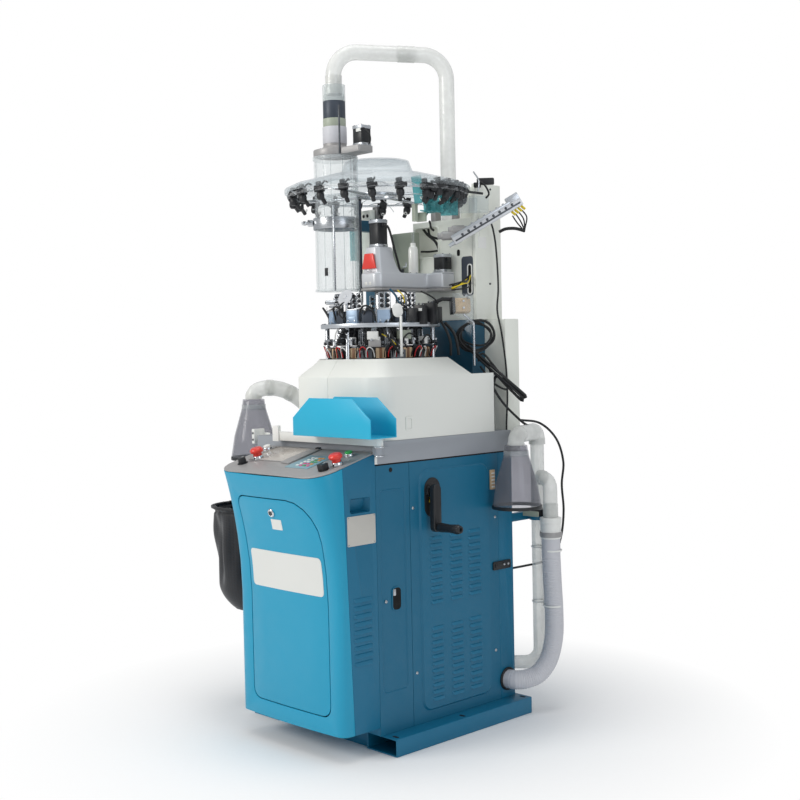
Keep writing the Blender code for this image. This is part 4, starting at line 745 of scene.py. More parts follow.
def add_grey_hose():
    """The vacuum hose: a helix of low ribs on a soft wall."""
    radius = 0.0285
    rib = 0.0011
    pitch = 0.0062
    route = cord_route(GREY_HOSE, pitch / 4)
    walked = 0.0
    radii = []
    for a, b in zip([route[0], *route], route):
        walked += (b - a).length
        radii.append(radius - rib * (0.5 - 0.5 * math.cos(math.tau * walked / pitch)))
    hose = piece("grey_hose_wall", [(swept(route, radii, 32), "hose")], ("grey_hose",))


def add_cords():
    add_grey_hose()
    add_cable("valve_cable", VALVE_CABLE, 0.0028)
    add_cable("loop_cable", LOOP_CABLE, 0.0042)
    add_cable("rear_cable", REAR_CABLE, 0.0035)


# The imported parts' own surfaces -----------------------------------------------

SKINS = {
    "rail_left": ("teal", 0.003), "rail_right": ("teal", 0.003),
    "crossmember_front": ("teal", 0.002), "crossmember_center": ("teal", 0.002),
    "cabinet_frame": ("teal", 0.002), "panel_rear": ("teal", 0.0012),
    # the console's side takes the darkened teal, painted shade; its front shell and door keep the lighter
    # teal
    "console_body": ("teal", 0.0012), "console_front": ("teal_shell", 0.0016),
    "console_door": ("teal_shell", 0.0012), "console_top": ("panel", 0.0012),
    "bed_plate": ("bed", 0.0022), "hood_guard": ("hood", 0.0016), "hood_front_cover": ("hood", 0.0016),
    "tray": ("teal_tray", 0.0012), "tray_bar": ("white", 0.002),
    "crank": ("black_metal", 0.0024), "crank_grip": ("black", 0.0016),
    "needle_cylinder": ("steel", 0.0006), "cam_housing": ("dark_steel", 0.0012),
    "dial": ("steel", 0.0008), "red_lever": ("red", 0.001),
    "rear_stand": ("deep_teal", 0.003), "column": ("cream", 0.003), "control_box": ("cream", 0.0025),
    "canister": ("clear_canister", 0.0008),
    "disc_cover": ("clear_cover", 0.0008),
    "suction_cone_right": ("smoky", 0.0008), "suction_cone_left": ("smoky", 0.0008),
    "hose_coupling": ("white", 0.0015), "clear_pipe": ("clear_pipe", 0.0),
    "bag_hoop": ("black_metal", 0.0012),
    "estop_left": ("red", 0.001), "estop_right": ("red", 0.001),
    "button_green": ("green", 0.0008), "button_white": ("white", 0.0008),
    "knob_left": ("black", 0.0008), "selector_knob": ("black", 0.0012),
}
HIDDEN_PARTS = {
    "cylinder_shaft": "steel", "lay_shaft": "steel", "motor_pulley": "dark_steel",
    "main_motor": "black_metal",
    "drive_belt": "rubber", "blower_housing": "black", "blower_impeller": "white",
}


def refine_parts():
    for node, (finish, width) in SKINS.items():
        refined(node, finish, width)
    for node, finish in HIDDEN_PARTS.items():
        mesh = frame["nodes"][node].data
        mesh.materials.clear()
        mesh.materials.append(FINISHES[finish])


# Cabinet ----------------------------------------------------------------------

PANEL_BOTTOM = 0.0493
PANEL_TOP = 0.7903


def pressed_panel(y0, y1, z0, z1, pressing):
    """A side panel's outer skin, its edges turned in; the pressing is a loop, a smaller loop and a rise."""
    bm = bmesh.new()
    x = HALF_WIDTH
    outer = [bm.verts.new((x, y, z)) for y, z in ((y0, z0), (y1, z0), (y1, z1), (y0, z1))]
    edges = [bm.edges.new((a, b)) for a, b in zip(outer, outer[1:] + outer[:1])]
    rim, floor, rise = pressing
    near = [bm.verts.new((x, y, z)) for y, z in rim]
    far = [bm.verts.new((x + rise, y, z)) for y, z in floor]
    edges += [bm.edges.new((a, b)) for a, b in zip(near, near[1:] + near[:1])]
    for k in range(len(near)):
        j = (k + 1) % len(near)
        bm.faces.new((near[k], near[j], far[j], far[k]))
    bm.faces.new(far)
    bmesh.ops.triangle_fill(bm, edges=edges, use_beauty=True)
    back = [bm.verts.new((x - 0.003, v.co.y, v.co.z)) for v in outer]
    for k in range(4):
        j = (k + 1) % 4
        bm.faces.new((outer[k], outer[j], back[j], back[k]))
    for face in bm.faces:
        face.normal_update()
        if face.normal.x < -0.1:
            face.normal_flip()
    return bm


def louvre(width, height=0.0085, rise=0.0036):
    """A pressed louvre: a low hood along +Y, open at its lower edge, standing off towards +X."""
    half = width / 2
    rings = []
    for y, share in ((-half, 0.05), (-half + 0.003, 0.8), (-half + 0.006, 1.0), (half - 0.006, 1.0),
                     (half - 0.003, 0.8), (half, 0.05)):
        out = rise * share
        drop = height * (1 - 0.3 * (1 - share))
        rings.append([(-0.0006, y, height), (out * 0.45, y, height * 0.86), (out * 0.85, y, height * 0.5),
                      (out, y, height - drop), (out * 0.8, y, height - drop), (-0.0006, y, height - drop)])
    return lofted(rings)


def screw_head(radius=0.0045):
    """A domed screw head with a round recess, facing +Z."""
    return turned([(0, 0), (radius, 0), (radius, 0.0008), (radius * 0.75, 0.0022), (radius * 0.3, 0.0027),
                   (radius * 0.22, 0.0012), (0, 0.0012)], 20)


def on_side(bm, y, z, out=0.0):
    """Stands a shape on the machine's right side, its own +Z pointing outwards."""
    return placed(bm, (HALF_WIDTH + out, y, z), (0, 90, 0))


def add_cabinet_sides():
    joint_y = -0.1495
    sunk = (rounded(-0.2635, -0.1665, 0.163, 0.724, 0.012), rounded(-0.2605, -0.1695, 0.166, 0.721, 0.01),
            -0.0029)
    # the side panels and their louvres take the darkened teal: painted shade on the machine's side
    piece("narrow_panel", [(pressed_panel(-0.2768, joint_y - 0.0008, PANEL_BOTTOM, PANEL_TOP, sunk), "teal")],
          ("panel_right_front",))
    plateau = (rounded(-0.114, 0.178, 0.08, 0.766, 0.034), rounded(-0.109, 0.173, 0.085, 0.761, 0.03), 0.0045)
    piece("wide_panel", [(pressed_panel(joint_y + 0.0006, 0.2192, PANEL_BOTTOM, PANEL_TOP, plateau), "teal")],
          ("panel_right",))
    face = HALF_WIDTH + 0.0045
    for label, z, rows in (("upper", 0.383, 10), ("lower", 0.106, 11)):
        for number, (y, width, lift) in enumerate(((-0.052, 0.048, 0.0), (0.03, 0.05, 0.0),
                                                   (0.108, 0.052, 0.002))):
            grid_of(f"louvres_{label}_{number}", louvre(width, 0.01, 0.0048), "teal", (face, y, z + lift),
                    rows=rows, row_step=(0, 0, 0.0202))
    grid_of("console_louvres", louvre(0.068, 0.012, 0.0046), "teal", (HALF_WIDTH, -0.333, 0.258), rows=9,
            row_step=(0, 0, 0.0215))
    # a dark sheet behind the hatch's lip: painted shade in its opening
    dark = slab(rounded(-0.221, -0.188, 0.387, 0.45, 0.012), HALF_WIDTH - 0.002, HALF_WIDTH - 0.0012, "X")
    lip = slab(rounded(-0.223, -0.186, 0.385, 0.452, 0.0135), HALF_WIDTH - 0.0021, HALF_WIDTH - 0.0006, "X",
               [rounded(-0.22, -0.189, 0.388, 0.449, 0.011)], 0.0003)
    catch = block(HALF_WIDTH - 0.0016, HALF_WIDTH + 0.0005, -0.219, -0.209, 0.428, 0.446, 0.0006)
    # a dark disc on the panel: painted shade for a hole
    hole = slab(circle(-0.22, 0.776, 0.0065, 20), HALF_WIDTH + 0.0001, HALF_WIDTH + 0.0005, "X")
    piece("hatch_and_hole", [(dark, "dark_joint_and_painted_shade"), (lip, "teal"), (catch, "steel"), (hole, "dark_joint_and_painted_shade")])
    spots = ((-0.247, 0.416), (-0.137, 0.662), (-0.134, 0.197), (0.199, 0.201), (0.205, 0.6))
    piece("panel_screws", [(on_side(screw_head(), y, z), "steel") for y, z in spots])
    # the crank's cover plate with its sliding catch
    plate = slab(rounded(-0.0955, -0.0335, 0.63, 0.742, 0.0305, 10), face - 0.001, face + 0.0022, "X",
                 edge=0.0008)
    boss = placed(turned([(0, 0), (0.017, 0), (0.0155, 0.01), (0, 0.01)], 32, 0.001),
                  (face + 0.001, -0.077, 0.7053), (0, 90, 0))
    catch_shape = [(-0.081, 0.702), (-0.07, 0.706), (-0.059, 0.702), (-0.058, 0.69), (-0.064, 0.682),
                   (-0.061, 0.672), (-0.07, 0.668), (-0.079, 0.674), (-0.076, 0.684)]
    catch = slab(catch_shape, face + 0.001, face + 0.0062, "X", edge=0.0008)
    pin = slab(rounded(-0.073, -0.069, 0.652, 0.668, 0.0018), face + 0.001, face + 0.0045, "X", edge=0.0004)
    piece("crank_cover_plate", [(plate, "black_metal"), (boss, "black_metal"), (catch, "yellow"),
                                (pin, "yellow")])
    # the wide panel's latch over the rear strip, and the cable inlet strip above it
    latch = slab(rounded(0.19, 0.268, 0.441, 0.466, 0.004), HALF_WIDTH, HALF_WIDTH + 0.005, "X", edge=0.0008)
    knob = placed(turned([(0, 0), (0.006, 0), (0.006, 0.004), (0, 0.004)], 20, 0.0006),
                  (HALF_WIDTH + 0.004, 0.201, 0.4535), (0, 90, 0))
    heads = [on_side(screw_head(0.004), y, 0.4545, 0.005) for y in (0.238, 0.256)]
    piece("panel_latch", [(latch, "black_metal"), (knob, "black"), *[(h, "steel") for h in heads]])
    strip = block(HALF_WIDTH, HALF_WIDTH + 0.006, 0.183, 0.202, 0.684, 0.742, 0.001)
    teeth = [block(HALF_WIDTH + 0.005, HALF_WIDTH + 0.0075, 0.186, 0.199, 0.69 + 0.01 * k, 0.694 + 0.01 * k,
                   0.0004)
             for k in range(5)]
    piece("terminal_strip", [(strip, "tan"), *[(tooth, "white") for tooth in teeth]])
    # the foam seal between the cabinet's top edge and the bed
    sides = ((-0.2615, 0.2615, -0.2762, -0.2722), (-0.2615, 0.2615, 0.2782, 0.2822),
             (-0.2617, -0.2577, -0.27, 0.28), (0.2577, 0.2617, -0.27, 0.28))
    piece("bed_seal", [(block(*side, 0.7901, 0.7944, 0), "dark_joint_and_painted_shade") for side in sides])
    # slots on the base rails, drawn as dark slabs: painted shade in them
    mark = rounded(-0.011, 0.011, -0.005, 0.005, 0.0048)
    marks = []
    for side in (-1, 1):
        for y in (-0.25, 0.0155, 0.281):
            outline = [(side * 0.293 + u, y + v) for u, v in mark]
            marks.append((slab(outline, 0.0489, 0.0493), "dark_joint_and_painted_shade"))
    piece("rail_slots", marks)
    # the hose's rubber entry ring
    entry = placed(turned([(0.0292, -0.002), (0.0345, -0.002), (0.0345, 0.004), (0.0315, 0.006),
                           (0.0292, 0.006)], 40, 0.0006),
                   (HALF_WIDTH, 0.25, 0.105), (0, 90, 0))
    piece("hose_entry_ring", [(entry, "rubber")])


# Console ----------------------------------------------------------------------


def nearest_face(node, start, way):
    """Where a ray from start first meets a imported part, and the outward direction there."""
    bm = bmesh.new()
    bm.from_mesh(frame["nodes"][node].data)
    tree = BVHTree.FromBMesh(bm)
    spot, normal, _, _ = tree.ray_cast(Vector(start), Vector(way))
    bm.free()
    return spot, normal


def facing(bm, spot, normal):
    """Stands a shape on a surface, its +Z along the surface's outward direction and its +Y upwards."""
    up = (Vector((0, 0, 1)) - normal * normal.z).normalized()
    side = up.cross(normal)
    matrix = Matrix((side, up, normal)).transposed().to_4x4()
    matrix.translation = spot
    bmesh.ops.transform(bm, matrix=matrix, verts=bm.verts)
    return bm


def applied_plate(node, x0, x1, z0, z1, radius, thickness, columns=12, rows=6):
    """A thin plate with rounded corners that follows a part's curved front."""
    bm = bmesh.new()
    source = bmesh.new()
    source.from_mesh(frame["nodes"][node].data)
    tree = BVHTree.FromBMesh(source)
    outline = rounded(x0, x1, z0, z1, radius, 5)
    bm.faces.new([bm.verts.new((x, 0, z)) for x, z in outline])
    for k in range(1, columns):
        cut_at = x0 + (x1 - x0) * k / columns
        bmesh.ops.bisect_plane(bm, geom=bm.verts[:] + bm.edges[:] + bm.faces[:], plane_co=(cut_at, 0, 0),
                               plane_no=(1, 0, 0))
    for k in range(1, rows):
        cut_at = z0 + (z1 - z0) * k / rows
        bmesh.ops.bisect_plane(bm, geom=bm.verts[:] + bm.edges[:] + bm.faces[:], plane_co=(0, 0, cut_at),
                               plane_no=(0, 0, 1))
    extruded = bmesh.ops.extrude_face_region(bm, geom=bm.faces[:])
    raised = {item for item in extruded["geom"] if isinstance(item, bmesh.types.BMVert)}
    for vert in bm.verts:
        spot, normal, _, _ = tree.ray_cast(Vector((vert.co.x, -1.0, vert.co.z)), Vector((0, 1, 0)))
        vert.co = spot + normal * (thickness if vert in raised else -0.0005)
    source.free()
    bmesh.ops.recalc_face_normals(bm, faces=bm.faces)
    return bm


def recess_cup(y0, y1, z0, z1, depth):
    """A finger pull let into the console's side, with a sloping back."""
    bm = bmesh.new()
    rim = [bm.verts.new((HALF_WIDTH - 0.0004, y, z)) for y, z in rounded(y0, y1, z0, z1, 0.004)]
    back = [bm.verts.new((HALF_WIDTH - depth * (0.45 + 0.55 * (z1 - z) / (z1 - z0)), y, z))
            for y, z in rounded(y0 + 0.006, y1 - 0.01, z0 + 0.004, z1 - 0.004, 0.003)]
    for k in range(len(rim)):
        j = (k + 1) % len(rim)
        bm.faces.new((rim[k], back[k], back[j], rim[j]))
    bm.faces.new(back)
    return bm


def add_console_details():
    cup = recess_cup(-0.371, -0.299, 0.67, 0.71, 0.026)
    plate = slab(rounded(-0.383, -0.281, 0.583, 0.663, 0.003), HALF_WIDTH, HALF_WIDTH + 0.0009, "X",
                 edge=0.0002)
    rivets = [on_side(screw_head(0.0018), y, z, 0.0008)
              for y in (-0.379, -0.285) for z in (0.587, 0.659)]
    piece("console_side_details", [(cup, "teal"), (plate, "silver_label"),
                                   *[(rivet, "steel") for rivet in rivets]])
    spot, normal = nearest_face("console_door", (0.031, -1, 0.664), (0, 1, 0))
    lock = [
        (turned([(0, 0), (0.0125, 0), (0.0125, 0.0025), (0.01, 0.005), (0.0085, 0.005), (0.008, 0.0035),
                 (0, 0.0035)], 32, 0.0003), "chrome"),
        (disc(0.006, 0.003, 0.006, 0.0006, 24), "dark_steel"),
        # a dark block for the keyhole: painted shade
        (block(-0.0012, 0.0012, -0.004, 0.004, 0.0055, 0.0063, 0.0002), "dark_joint_and_painted_shade"),
    ]
    piece("door_lock", [(facing(shape, spot, normal), finish) for shape, finish in lock],
          body="console_door")
    badge = applied_plate("console_door", -0.103, 0.2, 0.446, 0.552, 0.012, 0.001, 16, 4)
    tag = applied_plate("console_door", 0.02, 0.064, 0.617, 0.646, 0.002, 0.0005, 4, 3)
    piece("door_plates", [(badge, "label"), (tag, "label")], body="console_door")


def bezel(radius, height):
    """A button's collar."""
    bore = radius * 0.8
    return turned([(bore, 0), (radius, 0), (radius, height * 0.4), (radius * 0.88, height), (bore, height)],
                  36, 0.0004)


def add_control_panel():
    """The screen, the keypad and the buttons' collars on the console's sloping panel."""
    parts = []

    def put(shape, finish, x, run, lift=0.0):
        parts.append((on_console(shape, x, run, lift), finish))

    # the screen in its shallow frame, the raised band beside it, the keypad's film and a socket
    put(slab(rounded(-0.078, 0.078, -0.056, 0.056, 0.004), 0.0002, 0.0024, "Z",
             [rounded(-0.074, 0.074, -0.052, 0.052, 0.003)], 0.0005), "panel", -0.068, 0.066)
    put(slab(rounded(-0.074, 0.074, -0.052, 0.052, 0.003), 0.0002, 0.0012, "Z", edge=0.0003), "screen",
        -0.068, 0.066)
    put(slab([(-0.02, -0.062), (0.018, -0.066), (0.018, 0.058), (-0.02, 0.058)], 0.0002, 0.004, "Z",
             edge=0.0012),
        "panel", 0.034, 0.068)
    put(slab(rounded(-0.058, 0.04, -0.052, 0.046, 0.004), 0.0002, 0.0011, "Z", edge=0.0003), "film", 0.118,
        0.104)
    put(cube(0.017, 0.01, 0.007, 0.001), "black", 0.042, 0.012)
    key = rounded(-0.00525, 0.00525, -0.00375, 0.00375, 0.0014, 3)
    key_step = 0.0145
    rows = ("white white orange orange", "white white lime orange", "white white lime lime",
            "white pink pink orange", "white pink lime pink")
    for i, row in enumerate(rows):
        for j, finish in enumerate(row.split()):
            put(slab(key, 0.0008, 0.0026, edge=0.0006), finish, 0.094 + key_step * j, 0.078 + key_step * i)
    for x, run, radius in ((0.232, 0.112, 0.0165), (-0.112, 0.11, 0.0165), (0.207, 0.044, 0.014),
                           (-0.154, 0.04, 0.014)):
        put(bezel(radius, 0.01), "chrome", x, run)
    for x, run in ((-0.13, 0.154), (0.222, 0.153)):
        put(turned([(0.0128, 0), (0.015, 0), (0.015, 0.002), (0.0128, 0.002)], 32, 0.0004), "black", x, run)
    piece("control_panel_details", parts)
    # finger marks on the turning knobs
    mark = on_console(block(-0.001, 0.001, 0.002, 0.01, 0.0178, 0.0186, 0.0002), 0.222, 0.153)
    piece("selector_mark", [(mark, "white")], body="selector")
    mark = on_console(block(-0.0008, 0.0008, 0.002, 0.009, 0.0178, 0.0186, 0.0002), -0.13, 0.154)
    piece("knob_mark", [(mark, "white")], body="knob_left")


# Hood, bed and tray -----------------------------------------------------------

TRAY_HINGE = (0.286, -0.283)


def add_hood_details():
    latch = slab(rounded(-0.158, -0.13, 0.878, 0.918, 0.005), HALF_WIDTH - 0.001, HALF_WIDTH + 0.0018, "X",
                 [rounded(-0.152, -0.136, 0.884, 0.912, 0.004)], 0.0005)
    tongue = slab(rounded(-0.1515, -0.1365, 0.8845, 0.9115, 0.0035), HALF_WIDTH - 0.001, HALF_WIDTH + 0.0004,
                  "X")
    piece("hood_details", [(latch, "hood"), (tongue, "hood")])
    # the bed's hinge for the tray: two bright rollers, and a white angle at the bar's left end
    rollers = [(disc(0.016, 0.842, 0.845, 0.0008), "chrome"), (disc(0.013, 0.818, 0.821, 0.0008), "chrome")]
    parts = [(placed(shape, (*TRAY_HINGE, 0)), finish) for shape, finish in rollers]
    piece("tray_hinge_caps", parts)
    cap = turned([(0, 0), (0.012, 0), (0.012, 0.0012), (0.005, 0.002), (0, 0.002)], 28, 0.0003)
    angle = [block(-0.153, -0.126, -0.2985, -0.2955, 0.844, 0.888, 0.0006),
             block(-0.153, -0.15, -0.296, -0.27, 0.844, 0.888, 0.0006)]
    cap_place = (*TRAY_HINGE, 0.8716)
    piece("tray_bar_end", [*[(shape, "white") for shape in angle], (placed(cap, cap_place), "chrome")],
          body="tray")
    edge = block(0.262, 0.264, -0.279, -0.27, 0.795, 0.854, 0.0004)
    piece("bed_corner_strip", [(edge, "white")])


# Knitting zone ----------------------------------------------------------------

UNIT_STEP = 36.0
UNITS = 8
UNIT_RADIUS = 0.144
SOLENOIDS = 12


def across(side, depth, z):
    """A place by its offset to the right and towards the viewer, seen from the front right corner."""
    turn = math.radians(CORNER)
    return (-side * math.sin(turn) + depth * math.cos(turn), side * math.cos(turn) + depth * math.sin(turn),
            z)


def loop_over(reach, width, foot, crown):
    """A wire's route: up from one foot, over, and down to the other, along Y, bowed outwards along X."""
    points = []
    for k in range(13):
        turn = math.pi * k / 12
        points.append((reach * math.sin(turn), -width / 2 * math.cos(turn),
                       foot + (crown - foot) * math.sin(turn) ** 0.7))
    return points


def add_cam_units():
    """The lower tier: phenolic solenoid blocks round the cam housing, with their leads."""
    first = CORNER - 60.0
    ring_of("solenoid_blocks", block(-0.012, 0.012, -0.0145, 0.0145, 0, 0.03, 0.0012), "tan", SOLENOIDS,
            0.146, 1.0805, first)
    ring_of("solenoid_cores", block(-0.013, 0.013, -0.0045, 0.0045, -0.0002, 0.0306, 0.0008), "brown",
            SOLENOIDS, 0.146, 1.0805, first)
    ring_of("solenoid_backs", block(-0.01, 0.01, -0.011, 0.011, 0, 0.034, 0.001), "black", SOLENOIDS, 0.142,
            1.08, first + 15)
    for name, finish, shift, crown in (("red_leads", "red_wire", 12, 1.1135),
                                       ("white_leads", "white_wire", 19, 1.112),
                                       ("black_leads", "rubber", 8, 1.118)):
        route = loop_over(0.012, 0.024, 1.0835, crown)
        ring_of(name, swept([(x, y, z - 1.08) for x, y, z in route], 0.0017, 6), finish, SOLENOIDS, 0.1585,
                1.08, first + shift)
    ring_of("cam_levers", joined_bm([block(-0.004, 0.014, -0.004, 0.004, 0, 0.02, 0.0008),
                                     block(0.006, 0.02, -0.003, 0.003, 0.012, 0.018, 0.0008)]), "steel", 16,
            0.15, 1.1185, first + 6)
    ring_of("cam_lever_pivots", placed(disc(0.0045, 0, 0.01, 0.0006, 16), (0.012, 0, 0), (0, 90, 0)),
            "dark_steel", 16, 0.148, 1.1255, first + 17)
    ring_of("sensor_heads", block(-0.011, 0.011, -0.01, 0.01, 0, 0.022, 0.0012), "white", 5, 0.152, 1.12,
            first + 26, 150)
    parts = []
    for degrees, z, finish in ((-38, 1.147, "black"), (-41, 1.132, "black"), (-36, 1.16, "black_metal")):
        for k, (low, high, radius) in enumerate(((0.15, 0.192, 0.0062), (0.14, 0.152, 0.0095),
                                                 (0.192, 0.197, 0.0045))):
            shape = placed(disc(radius, low, high, 0.0008, 18), turn=(0, 90, 0))
            parts.append((around(shape, CORNER + degrees, 0, z), finish if k < 2 else "chrome"))
    bracket = block(-0.003, 0.003, -0.018, 0.018, -0.009, 0.01, 0.001)
    parts.append((around(bracket, CORNER - 6, 0.163, 1.122), "panel"))
    parts.append((around(block(-0.008, 0.008, -0.016, 0.016, 0, 0.024, 0.0015), CORNER - 8, 0.158, 1.134),
                  "white"))
    parts.append((around(block(-0.008, 0.008, -0.02, 0.02, 0, 0.026, 0.0015), CORNER + 26, 0.155, 1.134),
                  "sage"))
    piece("plungers", parts)


def joined_bm(shapes):
    """Several shapes as one."""
    whole = bmesh.new()
    for shape in shapes:
        mesh = bpy.data.meshes.new("part")
        shape.to_mesh(mesh)
        whole.from_mesh(mesh)
        bpy.data.meshes.remove(mesh)
        shape.free()
    return whole


def add_selector_units():
    """The upper tier, on the ring plate: actuators, their cable arches, and yarn tension discs."""
    top = RING_PLATE_TOP
    first = CORNER - 32.0 - 5 * UNIT_STEP
    sweep = UNITS * UNIT_STEP
    case = joined_bm([block(-0.012, 0.012, -0.0185, 0.0185, 0, 0.04, 0.0014),
                      block(0.0115, 0.0135, -0.015, 0.015, 0.004, 0.02, 0.0006)])
    ring_of("actuator_cases", case, "blue_grey", UNITS, UNIT_RADIUS, top + 0.0002, first, sweep)
    lid = block(-0.0135, 0.0125, -0.0195, 0.0195, 0.0375, 0.0415, 0.0008)
    ring_of("actuator_lids", lid, "plate", UNITS, UNIT_RADIUS, top, first, sweep)
    ring_of("selector_cases", block(-0.011, 0.011, -0.0155, 0.0155, 0, 0.036, 0.0014), "slate", UNITS,
            UNIT_RADIUS, top + 0.0002, first + UNIT_STEP / 2, sweep)
    pins = joined_bm([placed(disc(0.0028, 0, 0.004, 0.0004, 12), (0.0105, y, 0.007), (0, 90, 0))
                      for y in (-0.011, 0.011)])
    ring_of("actuator_screws", pins, "steel", UNITS, UNIT_RADIUS, top, first, sweep)
    arch_route = loop_over(0.022, 0.046, 0.006, 0.05)
    ring_of("lead_arches", swept(arch_route, 0.0028, 8), "rubber", UNITS, 0.148, top, first + UNIT_STEP / 2,
            sweep)
    arch_route = [(x, y + 0.006, z) for x, y, z in loop_over(0.016, 0.036, 0.004, 0.038)]
    ring_of("lead_arches_inner", swept(arch_route, 0.002, 8), "rubber", UNITS, 0.146, top,
            first + UNIT_STEP / 2, sweep)
    # the tension discs stand in pressed steel frames above the actuators
    frame_plates = [block(-0.005, 0.005, y - 0.0009, y + 0.0009, 0.0, 0.047, 0.0004)
                    for y in (-0.0165, 0.0, 0.0165)]
    frame_plates += [block(-0.005, 0.005, -0.0172, 0.0172, z, z + 0.0018, 0.0004) for z in (0.0, 0.0458)]
    ring_of("tension_frames", joined_bm(frame_plates), "steel", UNITS, 0.132, top + 0.042, first + 2, sweep)
    caps, posts = [], []
    for y in (-0.0082, 0.0082):
        for z in (0.0085, 0.023, 0.0375):
            cap = turned([(0, 0), (0.003, 0), (0.0064, 0.0028), (0.0064, 0.0038), (0.0034, 0.002),
                          (0, 0.002)], 18)
            caps.append(placed(cap, (0.003, y, z), (0, 90, 0)))
            posts.append(placed(disc(0.0034, -0.004, 0.0086, 0.0004, 12), (0.0, y, z), (0, 90, 0)))
    ring_of("tension_discs", joined_bm(caps), "chrome", UNITS, 0.132, top + 0.042, first + 2, sweep)
    ring_of("tension_posts", joined_bm(posts), "black", UNITS, 0.132, top + 0.042, first + 2, sweep)
    eyelets = joined_bm([placed(ring(0.0022, 0.004, 0, 0.0014, 0.0003, 14), (0.008, y, 0.0), (0, 90, 0))
                         for y in (-0.012, 0.012)])
    ring_of("yarn_eyelets", eyelets, "ceramic", UNITS, 0.15, top + 0.049, first + UNIT_STEP / 2, sweep)
    knobs = turned([(0, 0), (0.0066, 0), (0.0066, 0.004), (0.0048, 0.009), (0, 0.009)], 18, 0.0006)
    ring_of("tension_knobs", knobs, "black", UNITS, 0.146, top + 0.0368, first + UNIT_STEP / 2, sweep)
    plate = ring(0.112, 0.178, top - 0.012, top, 0.0012, 128)
    # dark discs on the plate: painted shade for its holes
    holes = [(around(disc(0.005, -0.0001, 0.0003, 0, 16), CORNER + a, 0.12, top), "dark_joint_and_painted_shade")
             for a in range(0, 360, 24)]
    legs = [(around(rod((0, 0, BED_TOP + 0.0003), (0, 0, top - 0.0121), 0.0065, 20), a, 0.162, 0), "steel")
            for a in (CORNER - 100, CORNER - 36, CORNER + 72, CORNER + 130, CORNER + 200)]
    piece("selector_ring_plate", [(plate, "plate"), *holes, *legs], ("ring_plate",))
    tower = joined_bm([block(-0.006, 0.006, -0.01, 0.01, 1.118, 1.169, 0.001),
                       block(0.004, 0.01, -0.004, 0.004, 1.126, 1.16, 0.0008)])
    ring_of("selector_towers", tower, "black_metal", 20, 0.118, 0.0, CORNER, 360)
    jacks = joined_bm([block(-0.002, 0.004, y - 0.0012, y + 0.0012, 1.12, 1.164, 0.0003)
                       for y in (-0.006, 0.0, 0.006)])
    ring_of("selector_blades", jacks, "steel", 20, 0.124, 0.0, CORNER + 9, 360)
    ring_of("plate_screws", screw_head(0.0045), "dark_steel", 20, 0.1715, top, CORNER, 360)


# Leads round the tiers: each is a route, with its points as across() takes them, a radius and a finish
ZONE_LEADS = (
    (((-0.1, 0.13, 1.19), (-0.118, 0.13, 1.21), (-0.112, 0.12, 1.238), (-0.09, 0.12, 1.246)), 0.0022,
     "rubber"),
    (((-0.118, 0.1, 1.176), (-0.132, 0.09, 1.15), (-0.13, 0.09, 1.12), (-0.118, 0.1, 1.095)), 0.0018,
     "white_wire"),
    (((0.02, 0.15, 1.196), (0.012, 0.168, 1.16), (0.03, 0.176, 1.128), (0.052, 0.166, 1.094)), 0.0036,
     "rubber"),
    (((0.03, 0.15, 1.196), (0.026, 0.172, 1.158), (0.044, 0.176, 1.126), (0.064, 0.162, 1.092)), 0.003,
     "rubber"),
    (((0.004, 0.15, 1.15), (0.02, 0.166, 1.14), (0.036, 0.166, 1.128), (0.044, 0.158, 1.118)), 0.0016,
     "yellow"),
    (((0.075, 0.14, 1.11), (0.066, 0.158, 1.132), (0.08, 0.16, 1.15), (0.098, 0.14, 1.146)), 0.0026,
     "rubber"),
    (((0.128, 0.11, 1.1), (0.12, 0.13, 1.124), (0.136, 0.12, 1.146), (0.15, 0.09, 1.13)), 0.0024, "rubber"),
    (((0.03, 0.118, 1.28), (0.045, 0.122, 1.262), (0.052, 0.124, 1.246), (0.06, 0.12, 1.236)), 0.003,
     "deep_teal"),
    (((0.052, 0.118, 1.276), (0.066, 0.124, 1.262), (0.07, 0.126, 1.25), (0.072, 0.12, 1.24)), 0.0018,
     "yellow"),
    (((0.06, 0.114, 1.276), (0.078, 0.122, 1.266), (0.084, 0.126, 1.248), (0.086, 0.12, 1.236)), 0.0022,
     "rubber"),
    (((0.12, 0.1, 1.272), (0.14, 0.11, 1.262), (0.158, 0.106, 1.25), (0.17, 0.09, 1.236)), 0.0024, "rubber"),
    (((0.205, 0.06, 1.29), (0.245, 0.05, 1.3), (0.262, 0.0, 1.306), (0.275, -0.046, 1.318)), 0.0024,
     "rubber"),
    (((0.212, 0.06, 1.282), (0.25, 0.054, 1.294), (0.266, 0.0, 1.3), (0.277, -0.046, 1.324)), 0.0018,
     "yellow"),
    (((0.212, 0.064, 1.276), (0.252, 0.056, 1.28), (0.268, 0.004, 1.288), (0.276, -0.046, 1.304)), 0.0024,
     "rubber"),
    (((0.19, 0.07, 1.18), (0.215, 0.076, 1.15), (0.225, 0.07, 1.12), (0.23, 0.06, 1.085)), 0.0046, "rubber"),
    (((0.178, 0.08, 1.186), (0.196, 0.092, 1.15), (0.205, 0.086, 1.12), (0.206, 0.07, 1.084)), 0.004,
     "rubber"),
)
